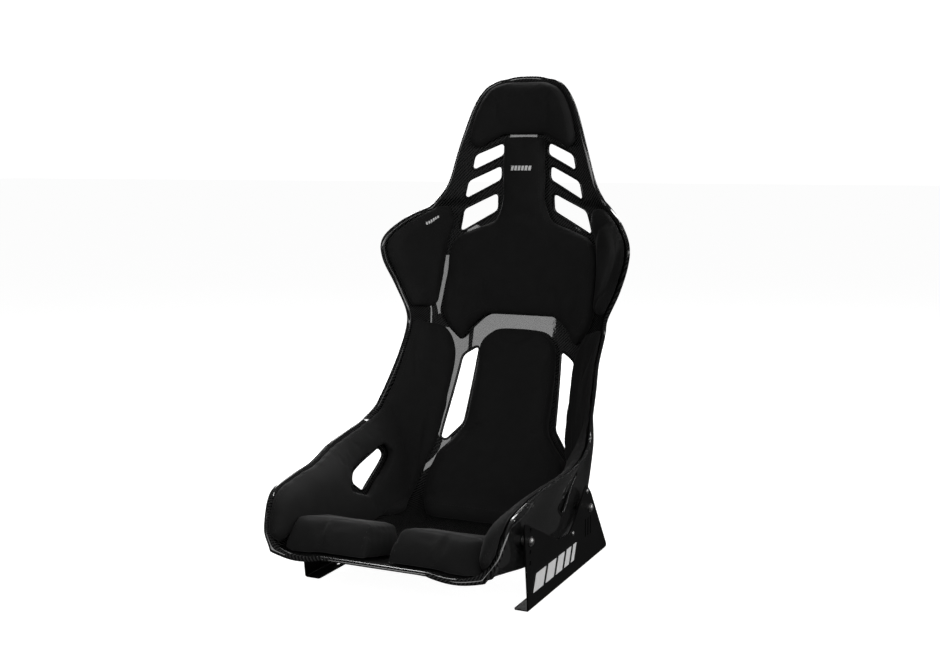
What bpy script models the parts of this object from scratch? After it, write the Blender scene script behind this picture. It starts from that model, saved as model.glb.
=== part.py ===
"""Racing bucket seat: one-piece carbon shell, separate stick-on pads, two bolted side brackets.

Metres, +Z up. The seat faces -Y, x = 0 is its plane of symmetry and z = 0 is the underside of
the bracket feet. "right" in a name is the +X side.
"""

import math

import bmesh
import bpy
import numpy as np
from mathutils import Matrix, Vector

# ---- shell ----
SHELL_THICK = 0.0036
RIM_ROLL_RADIUS = 0.0038
RIM_ROLL_STEPS = 3
RIM_ROLL_DEG = 105.0
SHELL_COLUMNS = 14
# How many rows of faces run between one station and the next.
SHELL_ROWS = (3, 2, 2, 2, 2, 2, 2, 3, 3, 3, 3, 2, 2, 2, 2, 2, 2, 2, 2, 1, 1, 2, 2, 2, 1, 2)
GAP = 0.0003
# How far a cutter runs past the faces that it cuts.
CUT_OVERRUN = 0.002
CENTRE_SHIFT_Y = 0.0052
SIDES = (("left", -1), ("right", 1))

# Each station: centre line (y, z), rim (x, y, z), kind of cross-section.
STATIONS = (
    ((-0.352, 0.100), (0.209, -0.352, 0.101), "lip"),
    ((-0.335, 0.098), (0.228, -0.336, 0.136), "floor"),
    ((-0.300, 0.090), (0.236, -0.302, 0.188), "floor"),
    ((-0.235, 0.076), (0.238, -0.235, 0.205), "floor"),
    ((-0.160, 0.062), (0.240, -0.165, 0.213), "floor"),
    ((-0.075, 0.051), (0.257, -0.073, 0.227), "flank"),
    ((0.000, 0.047), (0.258, -0.010, 0.238), "flank"),
    ((0.075, 0.050), (0.250, 0.052, 0.254), "seat"),
    ((0.135, 0.066), (0.238, 0.094, 0.276), "mount"),
    ((0.188, 0.105), (0.233, 0.116, 0.299), "hip"),
    ((0.235, 0.185), (0.226, 0.151, 0.345), "back"),
    ((0.283, 0.300), (0.2205, 0.180, 0.389), "back"),
    ((0.315, 0.400), (0.2205, 0.215, 0.440), "back"),
    ((0.328, 0.470), (0.2245, 0.219, 0.478), "back"),
    ((0.335, 0.535), (0.2495, 0.216, 0.533), "back"),
    ((0.340, 0.590), (0.2715, 0.201, 0.590), "back"),
    ((0.342, 0.635), (0.2715, 0.206, 0.630), "back"),
    ((0.342, 0.670), (0.241, 0.248, 0.668), "back"),
    ((0.342, 0.697), (0.203, 0.294, 0.695), "neck"),
    ((0.342, 0.720), (0.183, 0.300, 0.716), "head"),
    ((0.342, 0.751), (0.163, 0.307, 0.751), "head"),
    ((0.343, 0.820), (0.142, 0.311, 0.820), "head"),
    ((0.345, 0.885), (0.121, 0.319, 0.885), "head"),
    ((0.346, 0.925), (0.105, 0.324, 0.922), "head"),
    ((0.345, 0.948), (0.087, 0.329, 0.947), "head"),
    ((0.343, 0.962), (0.068, 0.335, 0.960), "head"),
    ((0.341, 0.970), (0.045, 0.340, 0.968), "head"),
)
LAST = len(STATIONS) - 1
# Inner control points of a cross-section: (x, share of the way from centre line to rim).
SECTIONS = {
    "lip": ((0.100, 0.00), (0.150, 0.25), (0.190, 0.70)),
    "floor": ((0.178, 0.01), (0.2130, 0.14), (0.2165, 0.64)),
    "flank": ((0.178, 0.01), (0.2120, 0.13), (0.2230, 0.58)),
    "seat": ((0.165, 0.015), (0.2105, 0.18), (0.2165, 0.66)),
    "mount": ((0.165, 0.015), (0.2095, 0.13), (0.2180, 0.62)),
    "hip": ((0.135, 0.03), (0.195, 0.15), (0.2260, 0.60)),
}
# The same, with x as a share of the rim's x.
SHARED_SECTIONS = {
    "back": ((0.42, 0.03), (0.64, 0.12), (0.88, 0.48)),
    "neck": ((0.40, 0.05), (0.65, 0.20), (0.86, 0.52)),
    "head": ((0.37, 0.08), (0.65, 0.34), (0.85, 0.66)),
}
LIP_DIPS = (0.007, 0.004, 0.002)
# Search for a place on the side wall: first guess and reach in (station, share), then narrowing.
SEARCH_START = (5.0, 0.70)
SEARCH_REACH = (4.0, 0.25)
SEARCH_TRIES = 6
SEARCH_ROUNDS = 7
SEARCH_SHRINK = 0.4

# ---- openings in the shell ----
BELT_SLOTS = (
    ((0.053, 0.834), (0.052, 0.810), (0.119, 0.777), (0.113, 0.808)),
    ((0.058, 0.785), (0.058, 0.757), (0.136, 0.715), (0.128, 0.752)),
    ((0.066, 0.726), (0.067, 0.690), (0.153, 0.642), (0.142, 0.690)),
)
LUMBAR_SLOT = ((0.098, 0.390), (0.108, 0.230), (0.139, 0.196), (0.147, 0.200), (0.129, 0.370))
LAP_OPENING = ((0.066, 0.200), (0.078, 0.185), (-0.006, 0.126), (-0.040, 0.150), (-0.028, 0.166))
LAP_OPENING_IN_PAD = ((0.070, 0.212), (0.092, 0.186), (-0.006, 0.116), (-0.084, 0.146), (-0.068, 0.176))
SLOT_CORNER_RADIUS = 0.006
# How far the cutters reach: belt slots and lumbar slots along Y, lap-belt openings along X.
BELT_CUT_Y = (0.20, 0.42)
LUMBAR_CUT_Y = (0.12, 0.42)
LAP_CUT_X = (0.16, 0.30)
PAD_CUT_X = (0.10, 0.30)

# ---- pads: rows of (station, inner edge, outer edge, bow), edges as shares of the section ----
# Points down the middle of the space for the sitter; a pad's foam grows towards them.
SITTER_LINE = ((0.0, -0.20, 0.45), (0.0, -0.05, 0.45), (0.0, 0.0, 0.60), (0.0, 0.05, 0.90))
PAD_STANDOFF = 0.0060
PAD_EDGE_ROUND = 0.003
# Across a centred pad the bow is whole up to BOW_FLAT of the half width, and gone at BOW_END.
BOW_FLAT = 0.40
BOW_END = 0.95
# A paired pad thins out towards the rim from this share of its width.
TAPER_START = 0.55
HEAD_ROWS = (
    (21.02, 0.66, 0.44), (21.20, 0.84, 0.36), (21.80, 0.91, 0.12), (22.90, 0.925, 0.0),
    (23.70, 0.92, 0.0), (24.40, 0.91, 0.0), (25.00, 0.86, 0.0), (25.45, 0.68, 0.0),
)
BACK_ROWS = (
    (11.98, 0.50, 0.90), (12.40, 0.61, 0.55), (12.95, 0.655, 0.18), (13.60, 0.605, 0.0),
    (14.40, 0.535, 0.0), (15.32, 0.485, 0.0), (15.84, 0.415, 0.0), (16.22, 0.300, 0.0),
    (16.58, 0.205, 0.0), (17.00, 0.145, 0.0), (18.00, 0.148, 0.0), (19.00, 0.164, 0.0),
    (20.00, 0.190, 0.0), (21.38, 0.225, 0.0),
)
LUMBAR_ROWS = (
    (7.05, 0.15, 0.0), (7.20, 0.185, 0.0), (8.00, 0.23, 0.0), (8.90, 0.325, 0.0), (9.55, 0.44, 0.0),
    (9.78, 0.44, 0.0), (10.05, 0.35, 0.0), (10.30, 0.255, 0.0), (10.70, 0.230, 0.0),
    (11.20, 0.222, 0.0), (11.80, 0.212, 0.0), (12.10, 0.180, 0.0), (12.40, 0.110, 0.0),
)
WING_ROWS = (
    (13.05, 0.725, 0.985), (13.60, 0.650, 0.985), (14.20, 0.590, 0.985), (15.00, 0.535, 0.985),
    (16.00, 0.510, 0.985), (16.80, 0.530, 0.985), (17.40, 0.610, 0.980), (17.95, 0.720, 0.970),
    (18.35, 0.830, 0.955),
)
BOLSTER_ROWS = (
    (0.62, 0.62, 0.975), (2.50, 0.57, 0.985), (4.00, 0.54, 0.985), (5.20, 0.49, 0.985),
    (6.20, 0.41, 0.985), (7.10, 0.28, 0.985), (8.00, 0.30, 0.985), (8.90, 0.39, 0.985),
    (9.90, 0.54, 0.985), (10.60, 0.55, 0.990), (11.50, 0.53, 0.990), (12.00, 0.58, 0.990),
    (12.38, 0.67, 0.990),
)
THIGH_ROWS = ((0.55, 0.034, 0.25), (1.40, 0.034, 0.25), (2.30, 0.034, 0.25), (3.30, 0.034, 0.25))
# Each pad: foam thickness and how much of it is gone at the rim.
FOAM = {
    "head": (0.022, 0.0), "back": (0.024, 0.0), "lumbar": (0.030, 0.0),
    "wing": (0.018, 0.45), "bolster": (0.018, 0.60), "thigh": (0.054, 0.0),
}

# ---- patches of hook-and-loop tape between shell and pads ----
TAPE_THICK = 0.0014
TAPE_STANDOFF = 0.0032
# On the centre line: name and rows.
CENTRED_TAPES = (
    ("head_pad_tape", ((22.3, 0.34, 0.0), (23.6, 0.34, 0.0))),
    ("upper_back_pad_tape", ((14.6, 0.26, 0.0), (15.8, 0.26, 0.0))),
    ("lower_back_seat_pad_tape", ((10.9, 0.12, 0.0), (11.7, 0.12, 0.0))),
    ("seat_pad_tape", ((7.6, 0.14, 0.0), (8.3, 0.14, 0.0))),
)
# One on each side: stem of the name and rows.
PAIRED_TAPES = (
    ("wing_pad_tape", ((15.1, 0.68, 0.79), (15.9, 0.68, 0.79))),
    ("bolster_pad_tape", ((9.6, 0.66, 0.80), (10.7, 0.66, 0.80))),
    ("thigh_pad_tape", ((1.7, 0.10, 0.22), (2.8, 0.10, 0.22))),
)

# ---- brackets ----
PLATE_OUTER_X = 0.2325
PLATE_THICK = 0.003
FOOT_WIDTH = 0.030
BEND_RADIUS = 0.005
BRACKET_TOP_Z = 0.170
BRACKET_REACH_Y = 0.24
BEND_STEPS = 4
OUTLINE_CORNER_RADIUS = 0.006
PLATE_OUTLINE = (
    (-0.204, -0.001), (-0.226, 0.160), (-0.220, 0.166), (-0.056, 0.092), (0.003, 0.0895),
    (0.025, 0.1036), (0.089, 0.159), (0.098, 0.162), (0.122, 0.142), (0.2225, 0.008), (0.219, -0.001),
)
HOLE_COLUMN_Y = -0.198
HOLE_COLUMN_Z = (0.149, 0.109, 0.089)
HOLE_RADIUS = 0.0042
TILT_SLOT_Y = (0.091, 0.106, 0.121)
TILT_SLOT_Z = 0.076
TILT_SLOT_LENGTH = 0.038
TILT_SLOT_RADIUS = 0.0028
FOOT_SLOT_Y = (-0.105, 0.000, 0.150)
FOOT_SLOT_LENGTH = 0.026
FOOT_SLOT_RADIUS = 0.0043
FOOT_SLOT_INSET = 0.0185
FOOT_CORNER_RADIUS = 0.008
SLOT_END_STEPS = 8

# ---- fasteners ----
MOUNT_POINTS = {"front": (-0.198, 0.129), "rear": (0.117, 0.1115)}
BOLT_RADIUS = 0.004
BOLT_BORE_RADIUS = 0.0044
BOLT_HEAD_RADIUS = 0.007
BOLT_HEAD_HEIGHT = 0.0042
WASHER_RADIUS = 0.009
WASHER_THICK = 0.0016
SPACER_RADIUS = 0.009
INSERT_BARREL_RADIUS = 0.0062
INSERT_FLANGE_RADIUS = 0.0088
INSERT_FLANGE_THICK = 0.0012
INSERT_CUT_REACH = 0.008
WALL_SLACK = 0.0010
BOLT_TIP_X = -0.0045
SCREW_POINTS = {"apex": (0.0978, 0.1495), "notch": (0.0185, 0.0850)}
SCREW_HEAD_RADIUS = 0.0048
SCREW_HEAD_HEIGHT = 0.0028
SCREW_SHANK_RADIUS = 0.0025
SCREW_LENGTH = 0.0055
# A domed head: straight share of its height, then a curve through DOME_TURN to a flat crown.
DOME_SIDE = 0.35
DOME_TURN = math.radians(75)
DOME_STEPS = 3
ROUND_STEPS = 16

# ---- plain tags and bars ----
BAR_THICK = 0.0006
TAG_THICK = 0.0008
# The wing tag's ends as (station, share of the section), its width and how far it stands off.
WING_TAG_ENDS = ((17.10, -0.882), (17.60, -0.838))
WING_TAG_STEPS = 4
WING_TAG_WIDTH = 0.005
WING_TAG_LIFT = 0.0032
NECK_TAG_ROWS = ((20.38, 0.100, 0.0), (20.54, 0.100, 0.0))
# Bars on a bracket's outer face: where each starts and ends along Y, and their lower and upper z.
BAR_SPANS = ((-0.184, -0.136), (-0.124, -0.084), (-0.072, -0.040), (-0.028, -0.004), (0.008, 0.024))
BAR_Z = (0.030, 0.062)
BAR_SLANT = 0.014

COLOURS = {
    "carbon": ((0.020, 0.020, 0.021, 1.0), 0.18, 0.0),
    "fabric": ((0.009, 0.009, 0.009, 1.0), 0.95, 0.0),
    "bracket": ((0.012, 0.012, 0.012, 1.0), 0.45, 0.6),
    "steel": ((0.55, 0.55, 0.56, 1.0), 0.30, 1.0),
    "tape": ((0.015, 0.015, 0.016, 1.0), 0.9, 0.0),
    "tag": ((0.80, 0.80, 0.80, 1.0), 0.6, 0.0),
}

for old in list(bpy.data.objects):
    bpy.data.objects.remove(old, do_unlink=True)

SEAT = bpy.data.collections.new("racing_seat")
CUTTERS = bpy.data.collections.new("cutters")
bpy.context.scene.collection.children.link(SEAT)
bpy.context.scene.collection.children.link(CUTTERS)

# Everything is drawn about the brackets' datum and hangs from this empty, which centres the seat.
CARRIER = bpy.data.objects.new("seat_carrier", None)
CARRIER.location = (0.0, CENTRE_SHIFT_Y, 0.0)
SEAT.objects.link(CARRIER)


# ---------------------------------------------------------------- shell surface


def station_row(index):
    """One station as a row of numbers that can be interpolated."""
    centre, rim, kind = STATIONS[index]
    if kind in SECTIONS:
        controls = SECTIONS[kind]
    else:
        controls = [(share * rim[0], g) for share, g in SHARED_SECTIONS[kind]]
    dip = LIP_DIPS[index] if index < len(LIP_DIPS) else 0.0
    numbers = [n for pair in controls for n in pair]
    return np.array([*centre, *rim, *numbers, dip])


ROWS = [station_row(index) for index in range(LAST + 1)]


def catmull(p0, p1, p2, p3, f):
    """Smooth curve from p1 (f = 0) to p2 (f = 1)."""
    linear = (p2 - p0) * f
    square = (2 * p0 - 5 * p1 + 4 * p2 - p3) * f * f
    cube = (3 * p1 - p0 - 3 * p2 + p3) * f * f * f
    return 0.5 * (2 * p1 + linear + square + cube)


def along(rows, t):
    """Smooth interpolation of a list of rows at position t, counted in rows."""
    last = len(rows) - 1
    t = min(max(t, 0.0), float(last))
    i = min(int(t), last - 1)
    before = rows[i - 1] if i > 0 else 2 * rows[i] - rows[i + 1]
    after = rows[i + 2] if i + 2 <= last else 2 * rows[i + 1] - rows[i]
    return catmull(before, rows[i], rows[i + 1], after, t - i)


def shell_point(s, v):
    """Point on the shell's middle surface: s counts stations, v runs from -1 to 1 across."""
    row = along(ROWS, s)
    centre_y, centre_z, rim_x, rim_y, rim_z = row[:5]
    inner = row[5:11].reshape(3, 2)
    controls = [np.array([-inner[0][0], inner[0][1]]), np.zeros(2), *inner, np.array([rim_x, 1.0])]
    controls.append(2 * controls[-1] - controls[-2])
    seg = abs(v) * 4
    i = min(int(seg), 3)
    x, g = catmull(*controls[i : i + 4], seg - i)
    outboard = min(max(2.0 * x / rim_x - 1.0, 0.0), 1.0)
    z = centre_z + g * (rim_z - centre_z) - row[11] * math.sin(math.pi * outboard)
    return Vector((math.copysign(x, v), centre_y + g * (rim_y - centre_y), z))


def shell_normal(s, v):
    """Unit normal of the shell, towards the sitter."""
    h = 0.02
    down = shell_point(min(s + h, LAST), v) - shell_point(max(s - h, 0.0), v)
    across = shell_point(s, min(v + h, 1.0)) - shell_point(s, max(v - h, -1.0))
    return across.cross(down).normalized()


def skin_point(s, v, height):
    """Point that stands off the shell's middle surface by height."""
    return shell_point(s, v) + height * shell_normal(s, v)


def wall_x(y, z):
    """x of the side wall's middle surface at a place on the side, by narrowing a search."""
    s, v = SEARCH_START
    reach_s, reach_v = SEARCH_REACH
    tries = range(-SEARCH_TRIES, SEARCH_TRIES + 1)
    for _ in range(SEARCH_ROUNDS):
        trials = []
        for i in tries:
            for j in tries:
                place = (s + reach_s * i / SEARCH_TRIES, v + reach_v * j / SEARCH_TRIES)
                p = shell_point(*place)
                trials.append(((p.y - y) ** 2 + (p.z - z) ** 2, place, p.x))
        best = min(trials)
        s, v = best[1]
        reach_s *= SEARCH_SHRINK
        reach_v *= SEARCH_SHRINK
    return best[2]


def wall_span(y, z, radius):
    """Smallest and largest wall x under a disc of that radius."""
    around = [(y, z), (y - radius, z), (y + radius, z), (y, z - radius), (y, z + radius)]
    found = [wall_x(*place) for place in around]
    return min(found), max(found)


# ---------------------------------------------------------------- helpers


def finish(name):
    """A Principled material of that name."""
    if name in bpy.data.materials:
        return bpy.data.materials[name]
    colour, roughness, metallic = COLOURS[name]
    material = bpy.data.materials.new(name)
    material.use_nodes = True
    shader = material.node_tree.nodes["Principled BSDF"]
    shader.inputs["Base Color"].default_value = colour
    shader.inputs["Roughness"].default_value = roughness
    shader.inputs["Metallic"].default_value = metallic
    return material


def make(name, bm, material=None, smooth=True):
    """An object from a bmesh, in the seat's collection, or among the cutters without a material."""
    bmesh.ops.recalc_face_normals(bm, faces=bm.faces)
    mesh = bpy.data.meshes.new(name)
    bm.to_mesh(mesh)
    bm.free()
    obj = bpy.data.objects.new(name, mesh)
    obj.parent = CARRIER
    if material is None:
        CUTTERS.objects.link(obj)
        obj.hide_render = True
        obj.display_type = "WIRE"
        return obj
    SEAT.objects.link(obj)
    mesh.materials.append(finish(material))
    if smooth:
        mesh.shade_smooth()
        mesh.set_sharp_from_angle(angle=math.radians(40))
    return obj


def cut(obj, cutter, operation="DIFFERENCE"):
    """Adds a Boolean of the cutter to the object."""
    modifier = obj.modifiers.new(operation.lower() + "_" + cutter.name, "BOOLEAN")
    modifier.operation = operation
    modifier.solver = "EXACT"
    modifier.object = cutter


def grid(points):
    """An open sheet of quads through rows of points."""
    bm = bmesh.new()
    verts = [[bm.verts.new(p) for p in row] for row in points]
    for low, high in zip(verts, verts[1:]):
        for a, b, c, d in zip(low, low[1:], high[1:], high):
            bm.faces.new((a, b, c, d))
    bm.faces.ensure_lookup_table()
    bm.normal_update()
    return bm


def rounded(outline, radius, steps=2):
    """A closed 2D outline with its corners rounded."""
    points = []
    count = len(outline)
    for i in range(count):
        corner = Vector(outline[i])
        back = Vector(outline[i - 1]) - corner
        ahead = Vector(outline[(i + 1) % count]) - corner
        reach = min(radius, 0.45 * back.length, 0.45 * ahead.length)
        start = corner + back.normalized() * reach
        end = corner + ahead.normalized() * reach
        for k in range(steps + 1):
            t = k / steps
            points.append((1 - t) ** 2 * start + 2 * t * (1 - t) * corner + t * t * end)
    return points


def prism(name, outline, axis, start, end, material=None):
    """A prism: a 2D outline in the plane across an axis, from start to end along it."""
    bm = bmesh.new()
    place = {
        "X": lambda p: (start, p[0], p[1]),
        "Y": lambda p: (p[0], start, p[1]),
        "Z": lambda p: (p[0], p[1], start),
    }[axis]
    face = bm.faces.new([bm.verts.new(place(p)) for p in outline])
    out = bmesh.ops.extrude_face_region(bm, geom=[face])
    moved = [g for g in out["geom"] if isinstance(g, bmesh.types.BMVert)]
    step = {"X": (end - start, 0, 0), "Y": (0, end - start, 0), "Z": (0, 0, end - start)}[axis]
    bmesh.ops.translate(bm, verts=moved, vec=step)
    return make(name, bm, material, smooth=False)


def mirrored(obj):
    """Adds the object's mirror image across x = 0 to it."""
    modifier = obj.modifiers.new("mirror", "MIRROR")
    modifier.use_axis = (True, False, False)
    modifier.merge_threshold = 0.00005
    return obj


def turned(name, profile, location, side, material, bore=None):
    """A round piece about the X axis; profile is (distance outboard, radius) pairs, going outboard."""
    outside = [(r, x) for x, r in reversed(profile)]
    top, bottom = outside[0][1], outside[-1][1]
    if bore is None:
        line = [(0.0, top), *outside, (0.0, bottom)]
    else:
        line = [*outside, (bore, bottom), (bore, top)]
    bm = bmesh.new()
    verts = [bm.verts.new((r, 0.0, x)) for r, x in line]
    for a, b in zip(verts, verts[1:]):
        bm.edges.new((a, b))
    if bore is not None:
        bm.edges.new((verts[-1], verts[0]))
    obj = make(name, bm, material)
    screw = obj.modifiers.new("turned", "SCREW")
    screw.axis = "Z"
    screw.steps = ROUND_STEPS
    screw.render_steps = ROUND_STEPS
    screw.use_merge_vertices = True
    screw.merge_threshold = 0.00001
    screw.use_smooth_shade = True
    obj.location = location
    obj.rotation_euler = (0.0, side * math.radians(90), 0.0)
    return obj


# ---------------------------------------------------------------- shell


def roll_rim(bm):
    """Rolls the open edge of the half shell outwards, away from the sitter."""
    bm.normal_update()
    edges = [e for e in bm.edges if e.is_boundary and not all(abs(v.co.x) < 1e-6 for v in e.verts)]
    frames = {}
    for edge in edges:
        loop = edge.link_loops[0]
        tangent = (loop.link_loop_next.vert.co - loop.vert.co).normalized()
        for vert in edge.verts:
            frames.setdefault(vert, Vector()).xyz += tangent
    rings = {vert: [vert] for vert in frames}
    for vert, tangent in frames.items():
        normal = vert.normal.normalized()
        outward = tangent.normalized().cross(normal).normalized()
        if abs(vert.co.x) < 1e-6:
            outward.x = 0.0
            normal.x = 0.0
        base = vert.co.copy()
        for k in range(1, RIM_ROLL_STEPS + 1):
            angle = math.radians(RIM_ROLL_DEG) * k / RIM_ROLL_STEPS
            reach = RIM_ROLL_RADIUS * math.sin(angle)
            drop = RIM_ROLL_RADIUS * (1.0 - math.cos(angle))
            rings[vert].append(bm.verts.new(base + outward * reach - normal * drop))
    for edge in edges:
        loop = edge.link_loops[0]
        a, b = loop.vert, loop.link_loop_next.vert
        for k in range(RIM_ROLL_STEPS):
            bm.faces.new((rings[b][k], rings[a][k], rings[a][k + 1], rings[b][k + 1]))


def build_shell():
    """The one-piece laminate with its rolled rim."""
    places = [i + k / count for i, count in enumerate(SHELL_ROWS) for k in range(count)]
    shares = [j / (SHELL_COLUMNS - 1) for j in range(SHELL_COLUMNS)]
    points = [[shell_point(s, v) for v in shares] for s in [*places, float(LAST)]]
    bm = grid(points)
    inside = shell_normal(0.0, 0.0)
    if bm.faces[0].normal.dot(inside) < 0:
        bmesh.ops.reverse_faces(bm, faces=bm.faces)
    roll_rim(bm)
    mesh = bpy.data.meshes.new("seat_shell")
    bm.to_mesh(mesh)
    bm.free()
    shell = bpy.data.objects.new("seat_shell", mesh)
    shell.parent = CARRIER
    SEAT.objects.link(shell)
    mesh.materials.append(finish("carbon"))
    mirrored(shell)
    solidify = shell.modifiers.new("laminate", "SOLIDIFY")
    solidify.thickness = SHELL_THICK
    solidify.offset = 0.0
    mesh.shade_smooth()
    return shell


def opening_cutters():
    """The belt, lumbar and lap-belt openings as mirrored prisms."""
    cutters = []
    for number, outline in enumerate(BELT_SLOTS, start=1):
        edge = rounded(outline, SLOT_CORNER_RADIUS)
        cutters.append(prism(f"belt_slot_cutter_{number}", edge, "Y", *BELT_CUT_Y))
    edge = rounded(LUMBAR_SLOT, SLOT_CORNER_RADIUS)
    cutters.append(prism("lumbar_slot_cutter", edge, "Y", *LUMBAR_CUT_Y))
    edge = rounded(LAP_OPENING, SLOT_CORNER_RADIUS)
    cutters.append(prism("lap_opening_cutter", edge, "X", *LAP_CUT_X))
    for cutter in cutters:
        mirrored(cutter)
    return cutters


# ---------------------------------------------------------------- pads


def pad_sheet(rows, columns, steps, standoff, side=0):
    """Points of a pad's back surface. side is 0 for a centred pad, or -1 or 1 for one of a pair."""
    table = [np.array(row, dtype=float) for row in rows]
    points = []
    for i in range(steps + 1):
        s, a, b = along(table, (len(table) - 1) * i / steps)
        line = []
        for j in range(columns + 1):
            u = j / columns
            if side == 0:
                u = 2.0 * u - 1.0
                arch = b * min(max((BOW_END - abs(u)) / (BOW_END - BOW_FLAT), 0.0), 1.0)
                line.append(skin_point(s + arch, u * a, standoff))
            else:
                line.append(skin_point(s, side * (a + (b - a) * u), standoff))
        points.append(line)
    return points


def thinning(u, taper):
    """Share of the foam's thickness that is left at a share u of a paired pad's width."""
    t = min(max((u - TAPER_START) / (1.0 - TAPER_START), 0.0), 1.0)
    return 1.0 - taper * t * t * (3.0 - 2.0 * t)


def build_pad(name, points, thick, material="fabric", taper=0.0):
    """A closed pad, patch or tag: a sheet thickened towards the sitter, thinner at the rim."""
    bm = grid(points)
    if bm.faces[0].normal.dot(shell_towards(points)) < 0:
        bmesh.ops.reverse_faces(bm, faces=bm.faces)
    mesh = bpy.data.meshes.new(name)
    bm.to_mesh(mesh)
    bm.free()
    pad = bpy.data.objects.new(name, mesh)
    pad.parent = CARRIER
    SEAT.objects.link(pad)
    mesh.materials.append(finish(material))
    solidify = pad.modifiers.new("foam", "SOLIDIFY")
    solidify.thickness = thick
    solidify.offset = 1.0
    if taper:
        columns = len(points[0])
        weights = pad.vertex_groups.new(name="foam")
        for index in range(len(mesh.vertices)):
            u = (index % columns) / (columns - 1)
            weights.add([index], thinning(u, taper), "REPLACE")
        solidify.vertex_group = "foam"
    return pad


def shell_towards(points):
    """Rough direction from a sheet's first corner to the middle of the space for the sitter."""
    corner = Vector(points[0][0])
    middle = min(SITTER_LINE, key=lambda place: (Vector(place) - corner).length)
    return Vector(middle) - corner


def build_pads():
    """Every pad of the set."""
    centred = (
        ("head_pad", HEAD_ROWS, "head", 8, 9),
        ("upper_back_pad", BACK_ROWS, "back", 8, 18),
        ("lower_back_seat_pad", LUMBAR_ROWS, "lumbar", 6, 18),
    )
    pads = {}
    for name, rows, kind, columns, steps in centred:
        points = pad_sheet(rows, columns, steps, PAD_STANDOFF)
        pads[name] = build_pad(name, points, FOAM[kind][0])
    paired = (
        ("shoulder_wing_pad", WING_ROWS, "wing", 4, 8),
        ("side_bolster_pad", BOLSTER_ROWS, "bolster", 5, 20),
        ("thigh_pad", THIGH_ROWS, "thigh", 4, 4),
    )
    for stem, rows, kind, columns, steps in paired:
        thick, taper = FOAM[kind]
        for label, side in SIDES:
            points = pad_sheet(rows, columns, steps, PAD_STANDOFF, side)
            name = f"{stem}_{label}"
            pads[name] = build_pad(name, points, thick, taper=taper)
    return pads


def build_tapes():
    """Hook-and-loop patches that hold the pads to the shell."""
    for name, rows in CENTRED_TAPES:
        build_pad(name, pad_sheet(rows, 4, 3, TAPE_STANDOFF), TAPE_THICK, "tape")
    for stem, rows in PAIRED_TAPES:
        for label, side in SIDES:
            build_pad(f"{stem}_{label}", pad_sheet(rows, 2, 3, TAPE_STANDOFF, side), TAPE_THICK, "tape")


def build_tags():
    """Plain woven tags on the neck and on the left shoulder wing."""
    over_back = PAD_STANDOFF + FOAM["back"][0] + GAP
    build_pad("neck_tag", pad_sheet(NECK_TAG_ROWS, 4, 1, over_back), TAG_THICK, "tag")
    thick, taper = FOAM["wing"]
    stations, inners, outers = zip(*WING_ROWS)
    (start_s, start_v), (end_s, end_v) = WING_TAG_ENDS
    spine = []
    for k in range(WING_TAG_STEPS + 1):
        s = start_s + (end_s - start_s) * k / WING_TAG_STEPS
        v = start_v + (end_v - start_v) * k / WING_TAG_STEPS
        inner = float(np.interp(s, stations, inners))
        outer = float(np.interp(s, stations, outers))
        left = thinning((abs(v) - inner) / (outer - inner), taper)
        height = PAD_STANDOFF + thick * left + WING_TAG_LIFT
        spine.append((skin_point(s, v, height), shell_normal(s, v)))
    ahead = spine[-1][0] - spine[0][0]
    sheet = []
    for middle, normal in spine:
        across = normal.cross(ahead).normalized() * WING_TAG_WIDTH / 2
        sheet.append([middle - across, middle + across])
    build_pad("wing_tag", sheet, TAG_THICK, "tag")


# ---------------------------------------------------------------- brackets and fasteners


def rod(name, centre, axis, radius, length):
    """A round cutter along X or Z."""
    bm = bmesh.new()
    turn = Matrix.Rotation(math.radians(90), 4, "Y") if axis == "X" else Matrix.Identity(4)
    bmesh.ops.create_cone(
        bm, cap_ends=True, segments=ROUND_STEPS, radius1=radius, radius2=radius, depth=length,
        matrix=Matrix.Translation(centre) @ turn,
    )
    return make(name, bm)


def stadium(centre, length, radius):
    """A slot outline that is long along its second coordinate."""
    reach = length / 2 - radius
    points = []
    for first_turn, middle in ((0.0, centre[1] + reach), (math.pi, centre[1] - reach)):
        for k in range(SLOT_END_STEPS + 1):
            turn = first_turn + math.pi * k / SLOT_END_STEPS
            points.append((centre[0] + radius * math.cos(turn), middle + radius * math.sin(turn)))
    return points


def bracket_section(side):
    """The bent plate's cross-section across Y: foot, bend and upright."""
    inner_x = PLATE_OUTER_X - FOOT_WIDTH
    bend_x = PLATE_OUTER_X - BEND_RADIUS
    points = [(inner_x, PLATE_THICK), (inner_x, 0.0)]
    for k in range(BEND_STEPS + 1):
        turn = math.radians(-90 + 90 * k / BEND_STEPS)
        points.append((bend_x + BEND_RADIUS * math.cos(turn), BEND_RADIUS * (1 + math.sin(turn))))
    points += [(PLATE_OUTER_X, BRACKET_TOP_Z), (PLATE_OUTER_X - PLATE_THICK, BRACKET_TOP_Z)]
    inside = BEND_RADIUS - PLATE_THICK
    for k in range(BEND_STEPS + 1):
        turn = math.radians(-90 * k / BEND_STEPS)
        points.append((bend_x + inside * math.cos(turn), BEND_RADIUS + inside * math.sin(turn)))
    return [(side * x, z) for x, z in points]


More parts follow.
